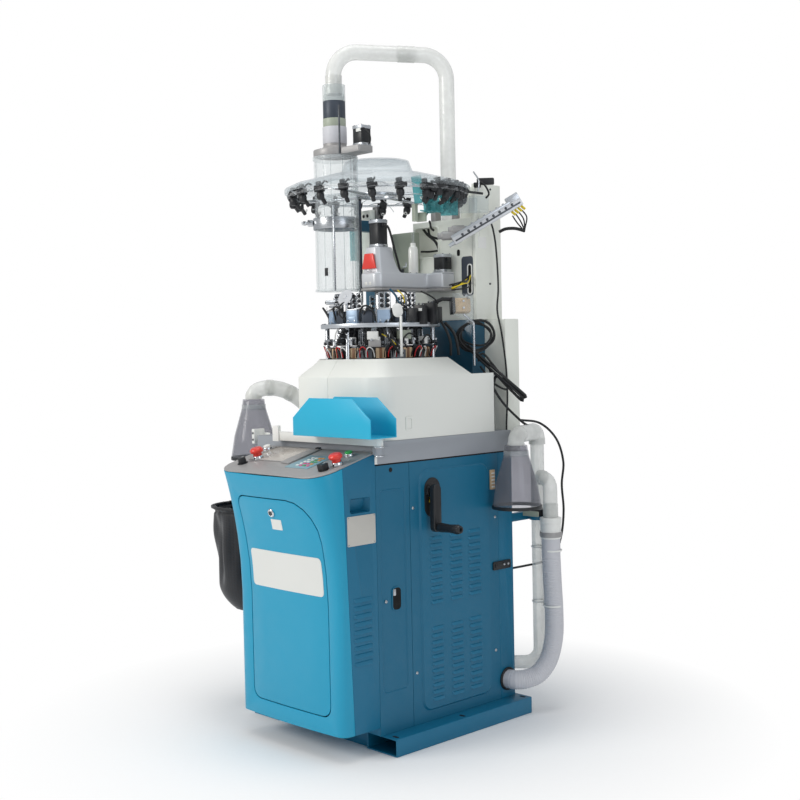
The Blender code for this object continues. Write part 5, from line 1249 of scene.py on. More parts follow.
# Two strands folded back below the loops and one that falls beside the stand, not declared as cords
STRANDS = (
    (((0.19, 0.178, 1.112), (0.232, 0.214, 1.062), (0.278, 0.256, 1.006), (0.311, 0.284, 0.967),
      (0.318, 0.29, 0.957),
      (0.311, 0.291, 0.954), (0.29, 0.272, 0.98), (0.262, 0.25, 1.014)), 0.0042, "rubber"),
    (((0.212, 0.201, 1.063), (0.213, 0.202, 1.078), (0.223, 0.21, 1.086), (0.238, 0.224, 1.063),
      (0.257, 0.241, 1.03),
      (0.274, 0.256, 1.006), (0.279, 0.261, 0.986), (0.268, 0.251, 0.979), (0.24, 0.226, 1.003),
      (0.215, 0.204, 1.049)),
     0.0032, "rubber"),
    (((0.222, 0.209, 1.07), (0.236, 0.223, 1.04), (0.242, 0.229, 0.989), (0.266, 0.249, 0.936),
      (0.302, 0.282, 0.885), (0.318, 0.298, 0.868)), 0.0036, "rubber"),
)


def add_zone_singles():
    """The knitting zone's single fittings: guides, cutters' cases, the sensor, leads and the clear guard."""
    top = RING_PLATE_TOP
    parts = []
    big = placed(turned([(0, -0.0012), (0.0235, -0.0012), (0.025, 0.0006), (0.0235, 0.0024), (0.008, 0.0024),
                         (0.006, 0.005),
                         (0, 0.005)], 40), across(-0.1, 0.11, 1.258), (62, 0, CORNER + 90 - 38))
    parts.append((big, "casting"))
    parts.append((rod(across(-0.098, 0.105, 1.186), across(-0.096, 0.107, 1.25), 0.0034), "steel"))
    paddle = slab(rounded(-0.015, 0.015, -0.02, 0.02, 0.0145, 10), -0.002, 0.002, "X", edge=0.0012)
    parts.append((around(placed(paddle, turn=(12, 8, 0)), CORNER + 17, 0.172, 1.2165), "ceramic"))
    post = rod((0, 0, 1.084), (0, 0, 1.2), 0.0038)
    parts.append((around(post, CORNER + 19, 0.1765 + 0.006, 0), "white"))
    for z, radius, reach in ((1.247, 0.0062, 0.052), (1.2345, 0.004, 0.04), (1.219, 0.0058, 0.048)):
        parts.append((rod(across(-0.108, 0.03, z), across(-0.108 - reach, 0.034, z), radius), "chrome"))
        parts.append((rod(across(-0.108 - reach, 0.034, z), across(-0.11 - reach, 0.034, z), radius * 0.6),
                      "dark_steel"))
    parts.append((rod(across(-0.112, 0.03, 1.182), across(-0.112, 0.03, 1.262), 0.0048), "dark_steel"))
    # the black yarn cutters' cases at the right, with a bare white plate
    for side, depth, size, z0, z1 in ((0.118, 0.124, 0.018, 1.176, 1.232), (0.148, 0.088, 0.02, 1.176, 1.238),
                                      (0.163, 0.04, 0.02, 1.18, 1.228), (0.092, 0.146, 0.015, 1.183, 1.222)):
        x, y, _ = across(side, depth, 0)
        parts.append((placed(cube(size * 1.7, size * 1.5, z1 - z0, 0.0016), (x, y, z0), (0, 0, CORNER + 60)),
                      "black"))
        for dx in (-0.008, 0.008):
            parts.append((placed(disc(0.0028, 0, 0.006, 0.0005, 12), (x + dx, y, z1 - 0.001)), "dark_steel"))
    x, y, _ = across(0.121, 0.138, 0)
    parts.append((placed(cube(0.014, 0.0012, 0.008, 0.0003), (x, y - 0.004, 1.214), (0, 0, CORNER + 90)),
                  "label"))
    # the needle sensor's tan case and its clips, right of the head
    x, y, _ = across(0.238, 0.07, 0)
    parts.append((placed(cube(0.03, 0.056, 0.042, 0.004), (x, y, 1.208), (0, -12, CORNER + 8)), "tan"))
    parts.append((placed(cube(0.034, 0.012, 0.046, 0.002), (x - 0.012, y - 0.022, 1.206),
                         (0, -12, CORNER + 8)), "black_metal"))
    for dz in (0.01, 0.03):
        parts.append((placed(disc(0.0035, 0, 0.004, 0.0005, 14), (x + 0.016, y - 0.006, 1.212 + dz),
                             (0, 90, CORNER + 8)), "steel"))
    arm = swept([across(0.15, 0.055, 1.236), across(0.185, 0.062, 1.25), across(0.215, 0.068, 1.248),
                 across(0.236, 0.07, 1.24)],
                0.006, 10)
    parts.append((arm, "black_metal"))
    parts.append((rod(across(0.276, 0.055, 1.052), across(0.276, 0.055, 1.178), 0.0034), "steel"))
    parts.append((rod(across(0.276, 0.055, 1.178), across(0.245, 0.068, 1.205), 0.0034), "steel"))
    piece("yarn_cutters_and_guides", parts)
    # stiff leads, drawn as fixed tubes: more than half of their ends stop short of any fitting
    leads = []
    routes = [([across(*point) for point in points], radius, finish) for points, radius, finish in ZONE_LEADS]
    for points, radius, finish in (*routes, *STRANDS):
        leads.append((swept(smooth_route(points, 0.006), radius, 8), finish))
    # three closed rings, tilted against each other, stand for a coiled cable
    loop_centre = across(0.284, 0.02, 1.14)
    for lean, size, radius in ((0.0, 0.056, 0.004), (0.5, 0.044, 0.0034), (-0.4, 0.05, 0.0036)):
        points = []
        for k in range(25):
            turn = math.tau * k / 24
            side = size * math.cos(turn)
            lift = size * (0.8 + 0.1 * math.sin(2 * turn + lean * 5)) * math.sin(turn)
            x, y, _ = across(side, 0.014 * math.sin(turn + lean * 4) + lean * 0.02, 0)
            points.append((loop_centre[0] + x, loop_centre[1] + y, loop_centre[2] + lift + lean * 0.008))
        leads.append((swept(points, radius, 8), "rubber"))
    piece("tied_leads", leads)
    # the clear curved guard at the right
    bm = bmesh.new()
    rows = []
    for k in range(17):
        turn = math.radians(CORNER + 48 + 52 * k / 16)
        radius = 0.3
        low = 1.17 + 0.03 * abs(k - 8) / 8
        rows.append([bm.verts.new((radius * math.cos(turn) * 0.93, radius * math.sin(turn) * 0.93, z))
                     for z in (low, 1.262)])
    for a, b in zip(rows, rows[1:]):
        bm.faces.new((a[0], b[0], b[1], a[1]))
    bmesh.ops.solidify(bm, geom=bm.faces[:], thickness=0.003)
    piece("clear_guard", [(bevelled(bm, 0.0006), "clear_cover"),
                          (rod(across(0.262, 0.062, 1.25), across(0.252, 0.11, 1.256), 0.004), "steel")])


# Head -------------------------------------------------------------------------


def stepper(x, y, low, high, cable=True):
    """A square stepping motor: dark laminated body between two bright end castings."""
    half = 0.021
    chamfered = rounded(x - half, x + half, y - half, y + half, 0.004, 2)
    waist = rounded(x - half + 0.0008, x + half - 0.0008, y - half + 0.0008, y + half - 0.0008, 0.0045, 2)
    shapes = [(slab(chamfered, low, low + 0.009, "Z", edge=0.0006), "steel"),
              (slab(waist, low + 0.008, high - 0.009, "Z", edge=0.0004), "black_metal"),
              (slab(chamfered, high - 0.01, high, "Z", edge=0.0006), "plate"),
              (placed(disc(0.011, high - 0.001, high + 0.0012, 0.0004, 24), (x, y, 0)), "plate")]
    shapes += [(placed(screw_head(0.0026), (x + sx * 0.0155, y + sy * 0.0155, high - 0.0006)), "dark_steel")
               for sx in (-1, 1) for sy in (-1, 1)]
    if cable:
        shapes.append((block(x + half - 0.001, x + half + 0.006, y - 0.006, y + 0.006, high - 0.022,
                             high - 0.01, 0.0008),
                       "black"))
    return shapes


def add_head():
    """The dial arm: a hollow casting with a flared tower, its two motors and the oil bottle."""
    plan = [(-0.042, -0.03), (-0.028, -0.046), (0.028, -0.046), (0.042, -0.03), (0.042, 0.16), (0.09, 0.178),
            (0.09, 0.2347), (-0.042, 0.2347)]
    parts = [(bevelled(slab(plan, 1.288, 1.334, "Z"), 0.006, 4), "casting")]
    lip = [(x + (0.0015 if x > 0 else -0.0015), y - (0.0015 if y < 0 else 0.0)) for x, y in plan]
    parts.append((slab(lip, 1.2796, 1.2875, "Z", edge=0.0012), "panel"))
    rings = []
    for z, half, back in ((1.331, 0.0412, 0.06), (1.338, 0.0385, 0.052), (1.35, 0.0358, 0.045),
                          (1.368, 0.033, 0.038), (1.39, 0.0305, 0.033), (1.4086, 0.029, 0.03)):
        front = -0.0368 + (z - 1.331) * 0.055
        outline = [(-half, front + 0.01), (-half + 0.01, front), (half - 0.01, front), (half, front + 0.01),
                   (half, back - 0.004), (half - 0.004, back), (-half + 0.004, back), (-half, back - 0.004)]
        rings.append([(x, y, z) for x, y in outline])
    parts.append((bevelled(lofted(rings), 0.0015), "casting"))
    parts.append((slab(rounded(-0.026, 0.026, -0.027, 0.027, 0.004), 1.408, 1.4096, "Z", edge=0.0005),
                  "steel"))
    parts += stepper(0.0, 0.0, 1.4096, 1.4912)
    parts.append((slab(rounded(0.04, 0.09, 0.18, 0.234, 0.006), 1.3334, 1.3375, "Z", edge=0.0008), "casting"))
    parts += stepper(0.065, 0.207, 1.3366, 1.3922)
    bottle = turned([(0, 1.334), (0.0135, 1.334), (0.015, 1.338), (0.015, 1.408), (0.013, 1.416),
                     (0.0085, 1.4196), (0.0085, 1.429), (0, 1.429)], 36, 0.0006)
    parts.append((placed(bottle, (-0.005, 0.15, 0)), "ceramic"))
    for dx in (-0.0035, 0.0035):
        parts.append((rod((-0.005 + dx, 0.15, 1.428), (-0.005 + dx, 0.15, 1.462), 0.0009, 8), "steel"))
    lead = [(0.026, 0.0, 1.474), (0.038, 0.004, 1.468), (0.043, 0.012, 1.44), (0.04, 0.026, 1.405),
            (0.034, 0.044, 1.372), (0.03, 0.06, 1.335)]
    parts.append((swept(smooth_route(lead, 0.006), 0.0034, 10), "rubber"))
    # bare stickers, the lever's pivot screw, the sensor tongue and the small brackets on the arm
    for x in (-0.014, 0.004):
        parts.append((block(x, x + 0.01, -0.0468, -0.046, 1.296, 1.306, 0.0002), "label"))
    parts.append((placed(screw_head(0.0035), (0.0, -0.0445, 1.3395), (90, 0, 0)), "steel"))
    parts.append((block(-0.0465, -0.0415, -0.03, -0.014, 1.312, 1.334, 0.0015), "black"))
    parts.append((block(-0.002, 0.04, 0.083, 0.085, 1.334, 1.352, 0.0006), "sage"))
    parts.append((block(0.014, 0.022, 0.078, 0.083, 1.334, 1.346, 0.0006), "dark_steel"))
    parts.append((rod((0.028, 0.086, 1.334), (0.028, 0.086, 1.366), 0.0018), "steel"))
    parts.append((rod((0.03, 0.086, 1.352), (0.022, 0.078, 1.352), 0.0018), "steel"))
    for y in (0.1, 0.126, 0.215):
        parts.append((placed(screw_head(0.003), (0.032, y, 1.3338)), "steel"))
    piece("head_arm_casting", parts, ("head_arm",))


# Feeder ring and its cover ----------------------------------------------------

FEEDERS = 20
# The direction of the first feeder, in degrees
FIRST_FEEDER = 6.9


def yarn_feeder(lean):
    """One black feeder: a clamp on the ring, a ball joint, a tube leaning inwards and a bright guide."""
    shapes = [
        block(-0.01, 0.01, -0.0085, 0.0085, -0.004, 0.012, 0.002),
        disc(0.0062, 0.011, 0.0215, 0.0012, 16),
        placed(turned([(0, -0.0105), (0.0055, -0.01), (0.0085, -0.006), (0.0092, 0), (0.0085, 0.006),
                       (0.0055, 0.01), (0, 0.0105)], 18), (-0.001, 0.0, -0.012)),
        placed(disc(0.0048, 0, 0.017, 0.001, 14), (-0.006, 0, -0.017), (0, 215, 0)),
        placed(disc(0.006, -0.011, 0.011, 0.001, 14), (0.006, 0.004, 0.004), (90, 0, 0)),
        swept(smooth_route([(-0.004, 0.006, 0.014), (-0.012, 0.01, 0.022), (-0.022, 0.008, 0.02)], 0.005),
              0.0022, 8),
    ]
    unit = placed(joined_bm(shapes), turn=(lean, 0, 0))
    bmesh.ops.scale(unit, vec=(1.2, 1.3, 1.2), verts=unit.verts)
    return unit


def guide_arc():
    """A bright wire from one feeder towards the next."""
    points = [(0.006, -0.002, 0.009), (0.009, 0.016, 0.014), (0.007, 0.036, 0.012), (0.002, 0.052, 0.004)]
    return swept(smooth_route(points, 0.006), 0.0016, 8)


def add_feeder_ring():
    tube = ring(0.2555, 0.269, FEEDER_Z, FEEDER_Z + 0.008, 0.0012, 120)
    parts = [(tube, "clear_canister")]
    parts.append((ring(0.25, 0.253, FEEDER_Z + 0.001, FEEDER_Z + 0.0055, 0.0008, 120), "steel"))
    foot_blocks = ((-0.01, 0.01, 0.2353, 0.262), (0.08, 0.1, 0.2353, 0.252))
    for x0, x1, y0, y1 in foot_blocks:
        parts.append((block(x0, x1, y0, y1, 1.4999, FEEDER_Z + 0.001, 0.0015), "panel"))
    parts.append((block(-0.205, -0.185, 0.169, 0.185, 1.5179, FEEDER_Z + 0.001, 0.0015), "panel"))
    for degrees in (CORNER - 30, CORNER + 62, CORNER + 150, CORNER + 240):
        spoke = rod((0.06, 0, FEEDER_Z + 0.004), (0.2515, 0, FEEDER_Z + 0.004), 0.0036, 14)
        parts.append((placed(spoke, turn=(0, 0, degrees)), "steel"))
    parts.append((ring(0.05, 0.064, FEEDER_Z, FEEDER_Z + 0.01, 0.001, 48), "steel"))
    piece("feeder_ring_frame", parts, ("feeder_ring",))
    ring_of("yarn_feeders", yarn_feeder(8), "black", FEEDERS, 0.255, FEEDER_Z, FIRST_FEEDER)
    ring_of("yarn_feeders_inner", yarn_feeder(-14), "black", 6, 0.249, FEEDER_Z - 0.004, CORNER + 38, 88)
    ring_of("yarn_feeders_right", yarn_feeder(4), "black", 7, 0.2585, FEEDER_Z + 0.006, CORNER + 42, 70)
    ring_of("guide_arcs", guide_arc(), "chrome", FEEDERS, 0.255, FEEDER_Z - 0.002, FIRST_FEEDER)
    eyes = placed(ring(0.003, 0.0052, -0.0012, 0.0012, 0.0004, 16), (-0.02, 0, -0.026), (0, 60, 0))
    ring_of("feeder_eyes", eyes, "ceramic", FEEDERS, 0.255, FEEDER_Z, FIRST_FEEDER)
    # coloured acrylic yarn shields under the ring, at the right
    shields = [
        (across(0.12, 0.15, 0), 34, 0.046, 0.003, 1.522, 1.6, "acrylic"),
        (across(0.16, 0.13, 0), 60, 0.06, 0.003, 1.495, 1.548, "acrylic"),
        (across(0.208, 0.1, 0), 84, 0.05, 0.003, 1.49, 1.552, "acrylic"),
        (across(0.262, 0.06, 0), 96, 0.06, 0.003, 1.5, 1.545, "clear_cover"),
        (across(0.3, 0.01, 0), 100, 0.06, 0.003, 1.506, 1.556, "clear_cover"),
    ]
    parts = []
    for (x, y, _), turn, width, depth, low, high, finish in shields:
        parts.append((placed(cube(width, depth, high - low, 0.0008), (x, y, low), (8, 0, CORNER + turn)),
                      finish))
    parts.append((placed(cube(0.05, 0.04, 0.003, 0.0008), across(0.15, 0.15, 1.496), (0, 6, CORNER + 70)),
                  "acrylic"))
    parts.append((placed(cube(0.014, 0.012, 0.05, 0.0015), across(0.106, 0.15, 1.47), (0, 0, CORNER + 40)),
                  "sage"))
    parts.append((placed(cube(0.03, 0.01, 0.026, 0.0012), across(0.125, 0.14, 1.47), (0, 0, CORNER + 60)),
                  "sage"))
    piece("yarn_shields", parts)
    # the black sensor block on its bright bracket beyond the ring's right edge
    x, y, z = across(0.33, 0.01, 1.594)
    parts = [(placed(cube(0.052, 0.022, 0.02, 0.004), (x - 0.016, y + 0.006, z - 0.004), (0, 0, CORNER + 84)),
              "black"),
             (placed(cube(0.022, 0.028, 0.014, 0.003), (x - 0.04, y - 0.004, z - 0.01), (0, 0, CORNER + 84)),
              "black")]
    route = [across(0.3, 0.02, 1.6), across(0.318, 0.03, 1.585), across(0.33, 0.03, 1.56),
             across(0.322, 0.02, 1.548)]
    parts.append((swept(smooth_route(route, 0.005), 0.003, 8), "rubber"))
    route = [across(0.285, 0.03, 1.625), across(0.3, 0.035, 1.598), across(0.298, 0.035, 1.566)]
    parts.append((swept(smooth_route(route, 0.005), 0.0022, 8), "steel"))
    parts.append((rod(across(0.262, 0.04, 1.566), across(0.312, 0.03, 1.56), 0.0036), "black"))
    piece("yarn_sensor", parts)
    # tubes that carry the yarns inwards from the feeders
    parts = []
    for k in range(10):
        turn = math.radians(CORNER - 70 + 34 * k)
        reach = 0.244
        start = (reach * math.cos(turn), reach * math.sin(turn), FEEDER_Z - 0.018)
        end = (0.06 * math.cos(turn), 0.06 * math.sin(turn), FEEDER_Z + 0.006)
        middle = ((start[0] + end[0]) / 2, (start[1] + end[1]) / 2, FEEDER_Z - 0.004)
        parts.append((swept(smooth_route([start, middle, end], 0.02), 0.0014, 6), "clear"))
    piece("yarn_tubes", parts)


# Column, canister and valves --------------------------------------------------


def add_column_details():
    front = COLUMN_FRONT_Y
    parts = []
    window = rounded(-0.081, 0.021, 1.3896, 1.4816, 0.012)
    lip = rounded(-0.085, 0.025, 1.3856, 1.4856, 0.015)
    parts.append((slab(lip, front - 0.003, front + 0.001, "Y", [window], 0.001), "cream"))
    slot_outer = rounded(0.143, 0.163, 1.266, 1.359, 0.0095)
    slot_inner = rounded(0.1465, 0.1595, 1.2695, 1.3555, 0.0062)
    # a slate sheet over the column's hollow: painted shade in the recess
    hollow = rounded(0.118, 0.1655, 1.262, 1.382, 0.01)
    parts.append((slab(hollow, front - 0.0006, front + 0.0002, "Y"), "slate"))
    parts.append((slab(slot_outer, front - 0.0034, front - 0.0004, "Y", [slot_inner], 0.0006), "white"))
    # dark sheets inside the slot and for the oval hole: painted shade
    parts.append((slab(slot_inner, front - 0.0012, front - 0.0005, "Y"), "dark_joint_and_painted_shade"))
    parts.append((slab(rounded(0.1, 0.112, 1.385, 1.405, 0.0058), front - 0.0008, front + 0.0002, "Y"),
                  "dark_joint_and_painted_shade"))
    for y, z in ((0.305, 1.585), (0.297, 1.298)):
        parts.append((placed(screw_head(0.0035), (0.1771, y, z), (0, 90, 0)), "dark_steel"))
    # the seam between the column and its side cover
    parts.append((block(0.1639, 0.1643, front - 0.0004, 0.352, 1.1896, 1.4996, 0.0001), "dark_joint_and_painted_shade"))
    cables = (((-0.07, 0.262, 1.482), (-0.04, 0.25, 1.462), (-0.01, 0.256, 1.436), (0.004, 0.262, 1.4)),
              ((-0.05, 0.264, 1.482), (-0.03, 0.252, 1.458), (0.0, 0.258, 1.446), (0.022, 0.262, 1.438)),
              ((-0.08, 0.262, 1.412), (-0.04, 0.256, 1.409), (0.0, 0.258, 1.41), (0.022, 0.262, 1.412)))
    for route, radius in zip(cables, (0.0042, 0.0036, 0.0032)):
        parts.append((swept(smooth_route(route, 0.006), radius, 8), "rubber"))
    piece("column_details", parts)
    # the box plate behind the motor and the cream post with its glass strip
    parts = [(slab(rounded(-0.155, -0.06, 1.345, 1.47, 0.003), 0.205, 0.2335, "Y", edge=0.0015), "sage"),
             (slab(rounded(-0.15, -0.112, 1.3, 1.345, 0.002), 0.205, 0.2335, "Y", edge=0.0012), "sage"),
             (block(-0.242, -0.19, 0.15, 0.166, 1.3, 1.548, 0.0015), "cream"),
             (block(-0.262, -0.252, 0.12, 0.15, 1.39, 1.5, 0.0012), "acrylic")]
    # dark discs on the post: painted shade for its holes
    for x in (-0.226, -0.208):
        parts.append((slab(circle(x, 1.53, 0.0055, 20), 0.1492, 0.15, "Y"), "dark_joint_and_painted_shade"))
    piece("stand_plates", parts)
    # leads from the head into the column's slot, and one over the column's window
    leads = []
    routes = (
        ([(0.06, 0.225, 1.3), (0.11, 0.222, 1.296), (0.15, 0.224, 1.316), (0.156, 0.232, 1.33)], 0.003,
         "rubber"),
        ([(0.05, 0.222, 1.292), (0.1, 0.216, 1.286), (0.142, 0.22, 1.306), (0.156, 0.232, 1.322)], 0.002,
         "yellow"),
        ([(-0.01, 0.23, 1.5), (0.0, 0.222, 1.492), (0.004, 0.222, 1.478), (0.008, 0.23, 1.47)], 0.0036,
         "rubber"),
    )
    for route, radius, finish in routes:
        leads.append((swept(smooth_route(route, 0.006), radius, 8), finish))
    piece("column_leads", leads)


def add_canister_details():
    """The sock catcher's clamp, collars, filter, motor and level rod."""
    x, y = CANISTER

    def shift(shape):
        return placed(shape, (x, y, 0))

    parts = [
        (shift(ring(0.0708, 0.0724, 1.4764, 1.5112, 0.0008, 64)), "steel"),
        (shift(ring(0.0672, 0.0705, 1.2866, 1.2926, 0.0008, 64)), "clear_canister"),
        (shift(ring(0.0672, 0.07, 1.688, 1.6986, 0.0008, 64)), "clear_canister"),
        (shift(ring(0.0325, 0.0372, 1.738, 1.79, 0.0012, 48)), "hose"),
        (shift(ring(0.0325, 0.0352, 1.79, 1.815, 0.001, 48)), "sage"),
        (shift(ring(0.0322, 0.0345, 1.815, 1.868, 0.0008, 48)), "slate"),
        (shift(ring(0.03, 0.0352, 1.868, 1.918, 0.0012, 48)), "clear"),
    ]
    screw = placed(rod((0.062, 0, 1.498), (0.108, 0, 1.498), 0.0052), turn=(0, 0, CORNER - 90))
    wing = placed(joined_bm([block(0.072, 0.09, -0.016, 0.016, 1.489, 1.507, 0.003),
                             block(0.094, 0.104, -0.01, 0.01, 1.492, 1.504, 0.002)]),
                  turn=(0, 0, CORNER - 90))
    parts += [(shift(screw), "chrome"), (shift(wing), "chrome")]
    parts.append((rod((x + 0.06, y - 0.034, 1.7), (x + 0.06, y - 0.034, 1.846), 0.003), "dark_steel"))
    parts.append((block(x + 0.015, x + 0.03, y - 0.0663, y - 0.0655, 1.332, 1.356, 0.0003), "black"))
    piece("canister_fittings", parts)
    plate = [(x + 0.067 * math.cos(math.radians(a)), y + 0.067 * math.sin(math.radians(a)))
             for a in range(28, 333, 8)]
    plate += [(-0.046, y - 0.03), (-0.042, y - 0.026), (-0.042, y + 0.026), (-0.046, y + 0.03)]
    cap = [(slab(plate, 1.6989, 1.7189, "Z", edge=0.0015), "panel"),
           (shift(turned([(0.034, 1.7189), (0.043, 1.7189), (0.041, 1.726), (0.036, 1.73), (0.036, 1.7739),
                          (0.034, 1.7739)],
                         48, 0.0006)), "panel"),
           (shift(ring(0.03, 0.0325, 1.7739, 1.8889, 0.0006, 48)), "clear")]
    cap += [(placed(screw_head(0.003), (x + 0.058 * math.cos(a), y + 0.058 * math.sin(a), 1.7187)), "steel")
            for a in (0.9, 2.2, 3.4, 4.7)]
    piece("canister_cap_plate", cap, ("canister_cap",))
    motor = stepper(-0.071, 0.007, 1.7192, 1.7806, cable=False)
    motor.append((block(-0.071, -0.05, -0.017, -0.014, 1.76, 1.77, 0.0008), "white"))
    lead = [(-0.052, -0.016, 1.765), (-0.04, -0.012, 1.768), (-0.026, -0.004, 1.75), (-0.03, 0.004, 1.732),
            (-0.042, 0.008, 1.722)]
    motor.append((swept(smooth_route(lead, 0.005), 0.0022, 8), "rubber"))
    piece("gate_motor", motor)
    ribs = []
    for degrees in (-70, -35, -12, 22, 50, 80):
        turn = math.radians(CORNER + degrees)
        spot = (math.cos(turn) * 0.0625, math.sin(turn) * 0.0625)
        ribs.append((shift(rod((*spot, 1.29), (*spot, 1.695), 0.0016, 8)), "clear"))
    piece("canister_ribs", ribs)
    tubes = [(rod((x + 0.052, y - 0.058, 1.286), (x + 0.052, y - 0.058, 1.545), 0.0034), "steel"),
             (rod((x + 0.08, y + 0.01, 1.255), (x + 0.08, y + 0.01, 1.69), 0.0075), "clear"),
             (rod((x + 0.072, y + 0.03, 1.25), (x + 0.072, y + 0.03, 1.56), 0.006), "slate")]
    piece("yarn_lift_rods", tubes)


def sleeved(points, radius, sleeves):
    """A pipe's outer skin with push-on sleeves; each sleeve is (first point, last point, extra radius)."""
    sides = 40
    parts = [(swept(points, radius, sides), "clear_pipe")]
    for start, stop, extra in sleeves:
        parts.append((swept(points[start:stop + 1], radius + extra, sides, extra + 0.0004), "clear_pipe"))
    return parts


def add_pipes():
    route = arch((-0.183, -0.003, 1.8892), (-0.007, 0.315, 1.4999), 2.022, 0.075, 14)
    crown_a, crown_b = route[15], route[16]
    middle = crown_a.lerp(crown_b, 0.62)
    ahead = crown_a.lerp(crown_b, 0.86)
    points = [*route[:16], middle, ahead, *route[16:]]
    piece("blowing_pipe", sleeved(points, 0.024, ((16, 17, 0.0014), (0, 1, 0.0016))),
          ("overhead_pipe",))
    points = arch((0.34, 0.216, 0.8169), (0.285, 0.378, 0.8066), 0.8466, 0.028, 10)
    piece("suction_elbow", sleeved(points, 0.024, ((0, 2, 0.0014), (11, 12, 0.0014), (21, 23, 0.001))),
          ("elbow_pipe_right",))
    points = smooth_route([(0.3061, 0.364, 0.7066), (0.318, 0.364, 0.7066), (0.3335, 0.364, 0.7),
                           (0.343, 0.364, 0.686),
                           (0.345, 0.364, 0.668), (0.345, 0.364, 0.64), (0.345, 0.364, 0.5889)], 0.008)
    count = len(points)
    piece("branch_pipe", sleeved(points, 0.0215, ((0, 2, 0.0012), (count - 6, count - 1, 0.0014))),
          ("branch_elbow",))
    points = cord_route(LEFT_PIPE, 0.008)
    count = len(points)
    piece("left_suction_pipe", sleeved(points, 0.024,
                                       ((0, 2, 0.0014), (8, 10, 0.0012),
                                        (count // 2, count // 2 + 2, 0.001))),
          ("left_pipe",))
    # cone rims, collars and the clamp that holds the hoses
    parts = []
    for (x, y), rim in ((CONE_RIGHT, 0.6306), (CONE_LEFT, 0.7737)):
        parts.append((placed(ring(0.07, 0.0735, rim - 0.0002, rim + 0.01, 0.0015, 64), (x, y, 0)), "black"))
        parts.append((placed(ring(0.0335, 0.0368, rim + 0.152, rim + 0.17, 0.001, 48), (x, y, 0)), "clear"))
    parts.append((slab(rounded(0.262, 0.322, 0.59, 0.606, 0.002), 0.333, 0.337, "Y", edge=0.0008), "sage"))
    parts.append((placed(ring(0.0225, 0.029, 0.588, 0.608, 0.0012, 40), (0.285, 0.378, 0)), "black"))
    for z in (0.486, 0.318):
        parts.append((placed(ring(0.0285, 0.0302, z, z + 0.005, 0.0005, 40), (0.3465, 0.3665, 0)), "white"))
        parts.append((placed(ring(0.0212, 0.0226, z + 0.004, z + 0.009, 0.0005, 36), (0.285, 0.378, 0)),
                      "white"))
        parts.append((block(0.3, 0.322, 0.3715, 0.3735, z + 0.002, z + 0.007, 0.0005), "white"))
    parts.append((placed(ring(0.0305, 0.0335, 0.53, 0.545, 0.001, 48), (0.345, 0.364, 0)), "panel"))
    parts.append((placed(ring(0.0305, 0.0325, 0.572, 0.588, 0.001, 48), (0.345, 0.364, 0)), "white"))
    piece("suction_fittings", parts)
    # bracket of the left cone
    parts = [(block(-0.3, -0.288, -0.262, -0.222, 0.828, 0.872, 0.001), "white"),
             (block(-0.325, -0.262, -0.224, -0.221, 0.836, 0.86, 0.0008), "white")]
    parts += [(placed(screw_head(0.0035), (-0.2938, -0.2625, z), (90, 0, 0)), "dark_steel")
              for z in (0.84, 0.86)]
    piece("left_cone_bracket", parts)


def add_valve_details():
    """Air valves on the manifold bar: two fat cylinders, fittings and their leads."""
    middle = Vector((0.2195, 0.239, 1.4846))
    turn, tilt = math.radians(46), math.atan2(0.125, 0.219)
    frame_turn = Matrix.Rotation(turn, 4, "Z") @ Matrix.Rotation(-tilt, 4, "Y")

    def along(shape, u, v, w):
        bmesh.ops.transform(shape,
                            matrix=Matrix.Translation(middle) @ frame_turn @ Matrix.Translation((u, v, w)),
                            verts=shape.verts)
        return shape

    parts = [(along(block(-0.1175, 0.1175, -0.016, 0.016, -0.016, 0.006, 0.0016), 0, 0, 0), "casting"),
             (along(block(-0.1175, 0.085, -0.013, 0.013, 0.006, 0.014, 0.0014), 0, 0, 0), "plate"),
             (along(block(-0.112, 0.112, -0.0168, -0.0158, -0.009, -0.004, 0.0003), 0, 0, 0), "dark_steel")]
    for k in range(9):
        parts.append((along(placed(disc(0.0042, 0, 0.001, 0.0003, 16), (0, -0.016, 0.0), (90, 0, 0)),
                            -0.085 + 0.0215 * k, 0, 0), "dark_steel"))
        parts.append((along(disc(0.0032, 0, 0.004, 0.0005, 14), -0.085 + 0.0215 * k, 0, 0.0138), "steel"))
    for u, reach in ((-0.104, 0.052), (-0.07, 0.05)):
        cylinder = turned([(0, 0), (0.0125, 0), (0.0135, 0.004), (0.0135, reach * 0.72),
                           (0.0095, reach * 0.8), (0.0095, reach), (0, reach)], 28, 0.0008)
        parts.append((along(placed(cylinder, turn=(0, -62, 0)), u, 0.004, 0.01), "panel"))
    for u in (-0.116, -0.108):
        parts.append((along(placed(disc(0.0055, 0, 0.02, 0.0008, 16), turn=(0, -100, 0)), u, -0.006, -0.006),
                      "plate"))
    parts.append((along(block(-0.02, 0.02, -0.012, 0.012, 0, 0.022, 0.0012), 0.098, 0, 0.004), "plate"))
    for k in range(4):
        plug = placed(disc(0.0038, 0, 0.016, 0.0006, 12), turn=(0, 160, 0))
        parts.append((along(plug, 0.078 + 0.011 * k, 0.004, -0.016), "yellow"))
        start = middle + (frame_turn @ Vector((0.074 + 0.011 * k, 0.004, -0.028)))
        route = [start, start + Vector((0.01, 0.01, -0.022)), Vector((0.3, 0.32, 1.448 + 0.003 * k))]
        parts.append((swept(smooth_route(route, 0.006), 0.0021, 8), "rubber"))
    bundle = [Vector((0.3, 0.32, 1.45)), Vector((0.28, 0.3, 1.458)), Vector((0.256, 0.284, 1.458)),
              Vector((0.238, 0.274, 1.45))]
    parts.append((swept(smooth_route(bundle, 0.006), 0.0048, 10), "rubber"))
    parts.append((block(0.172, 0.179, 0.246, 0.282, 1.405, 1.47, 0.001), "white"))
    piece("valve_manifold", parts, ("valve_bank",))


# Bag --------------------------------------------------------------------------

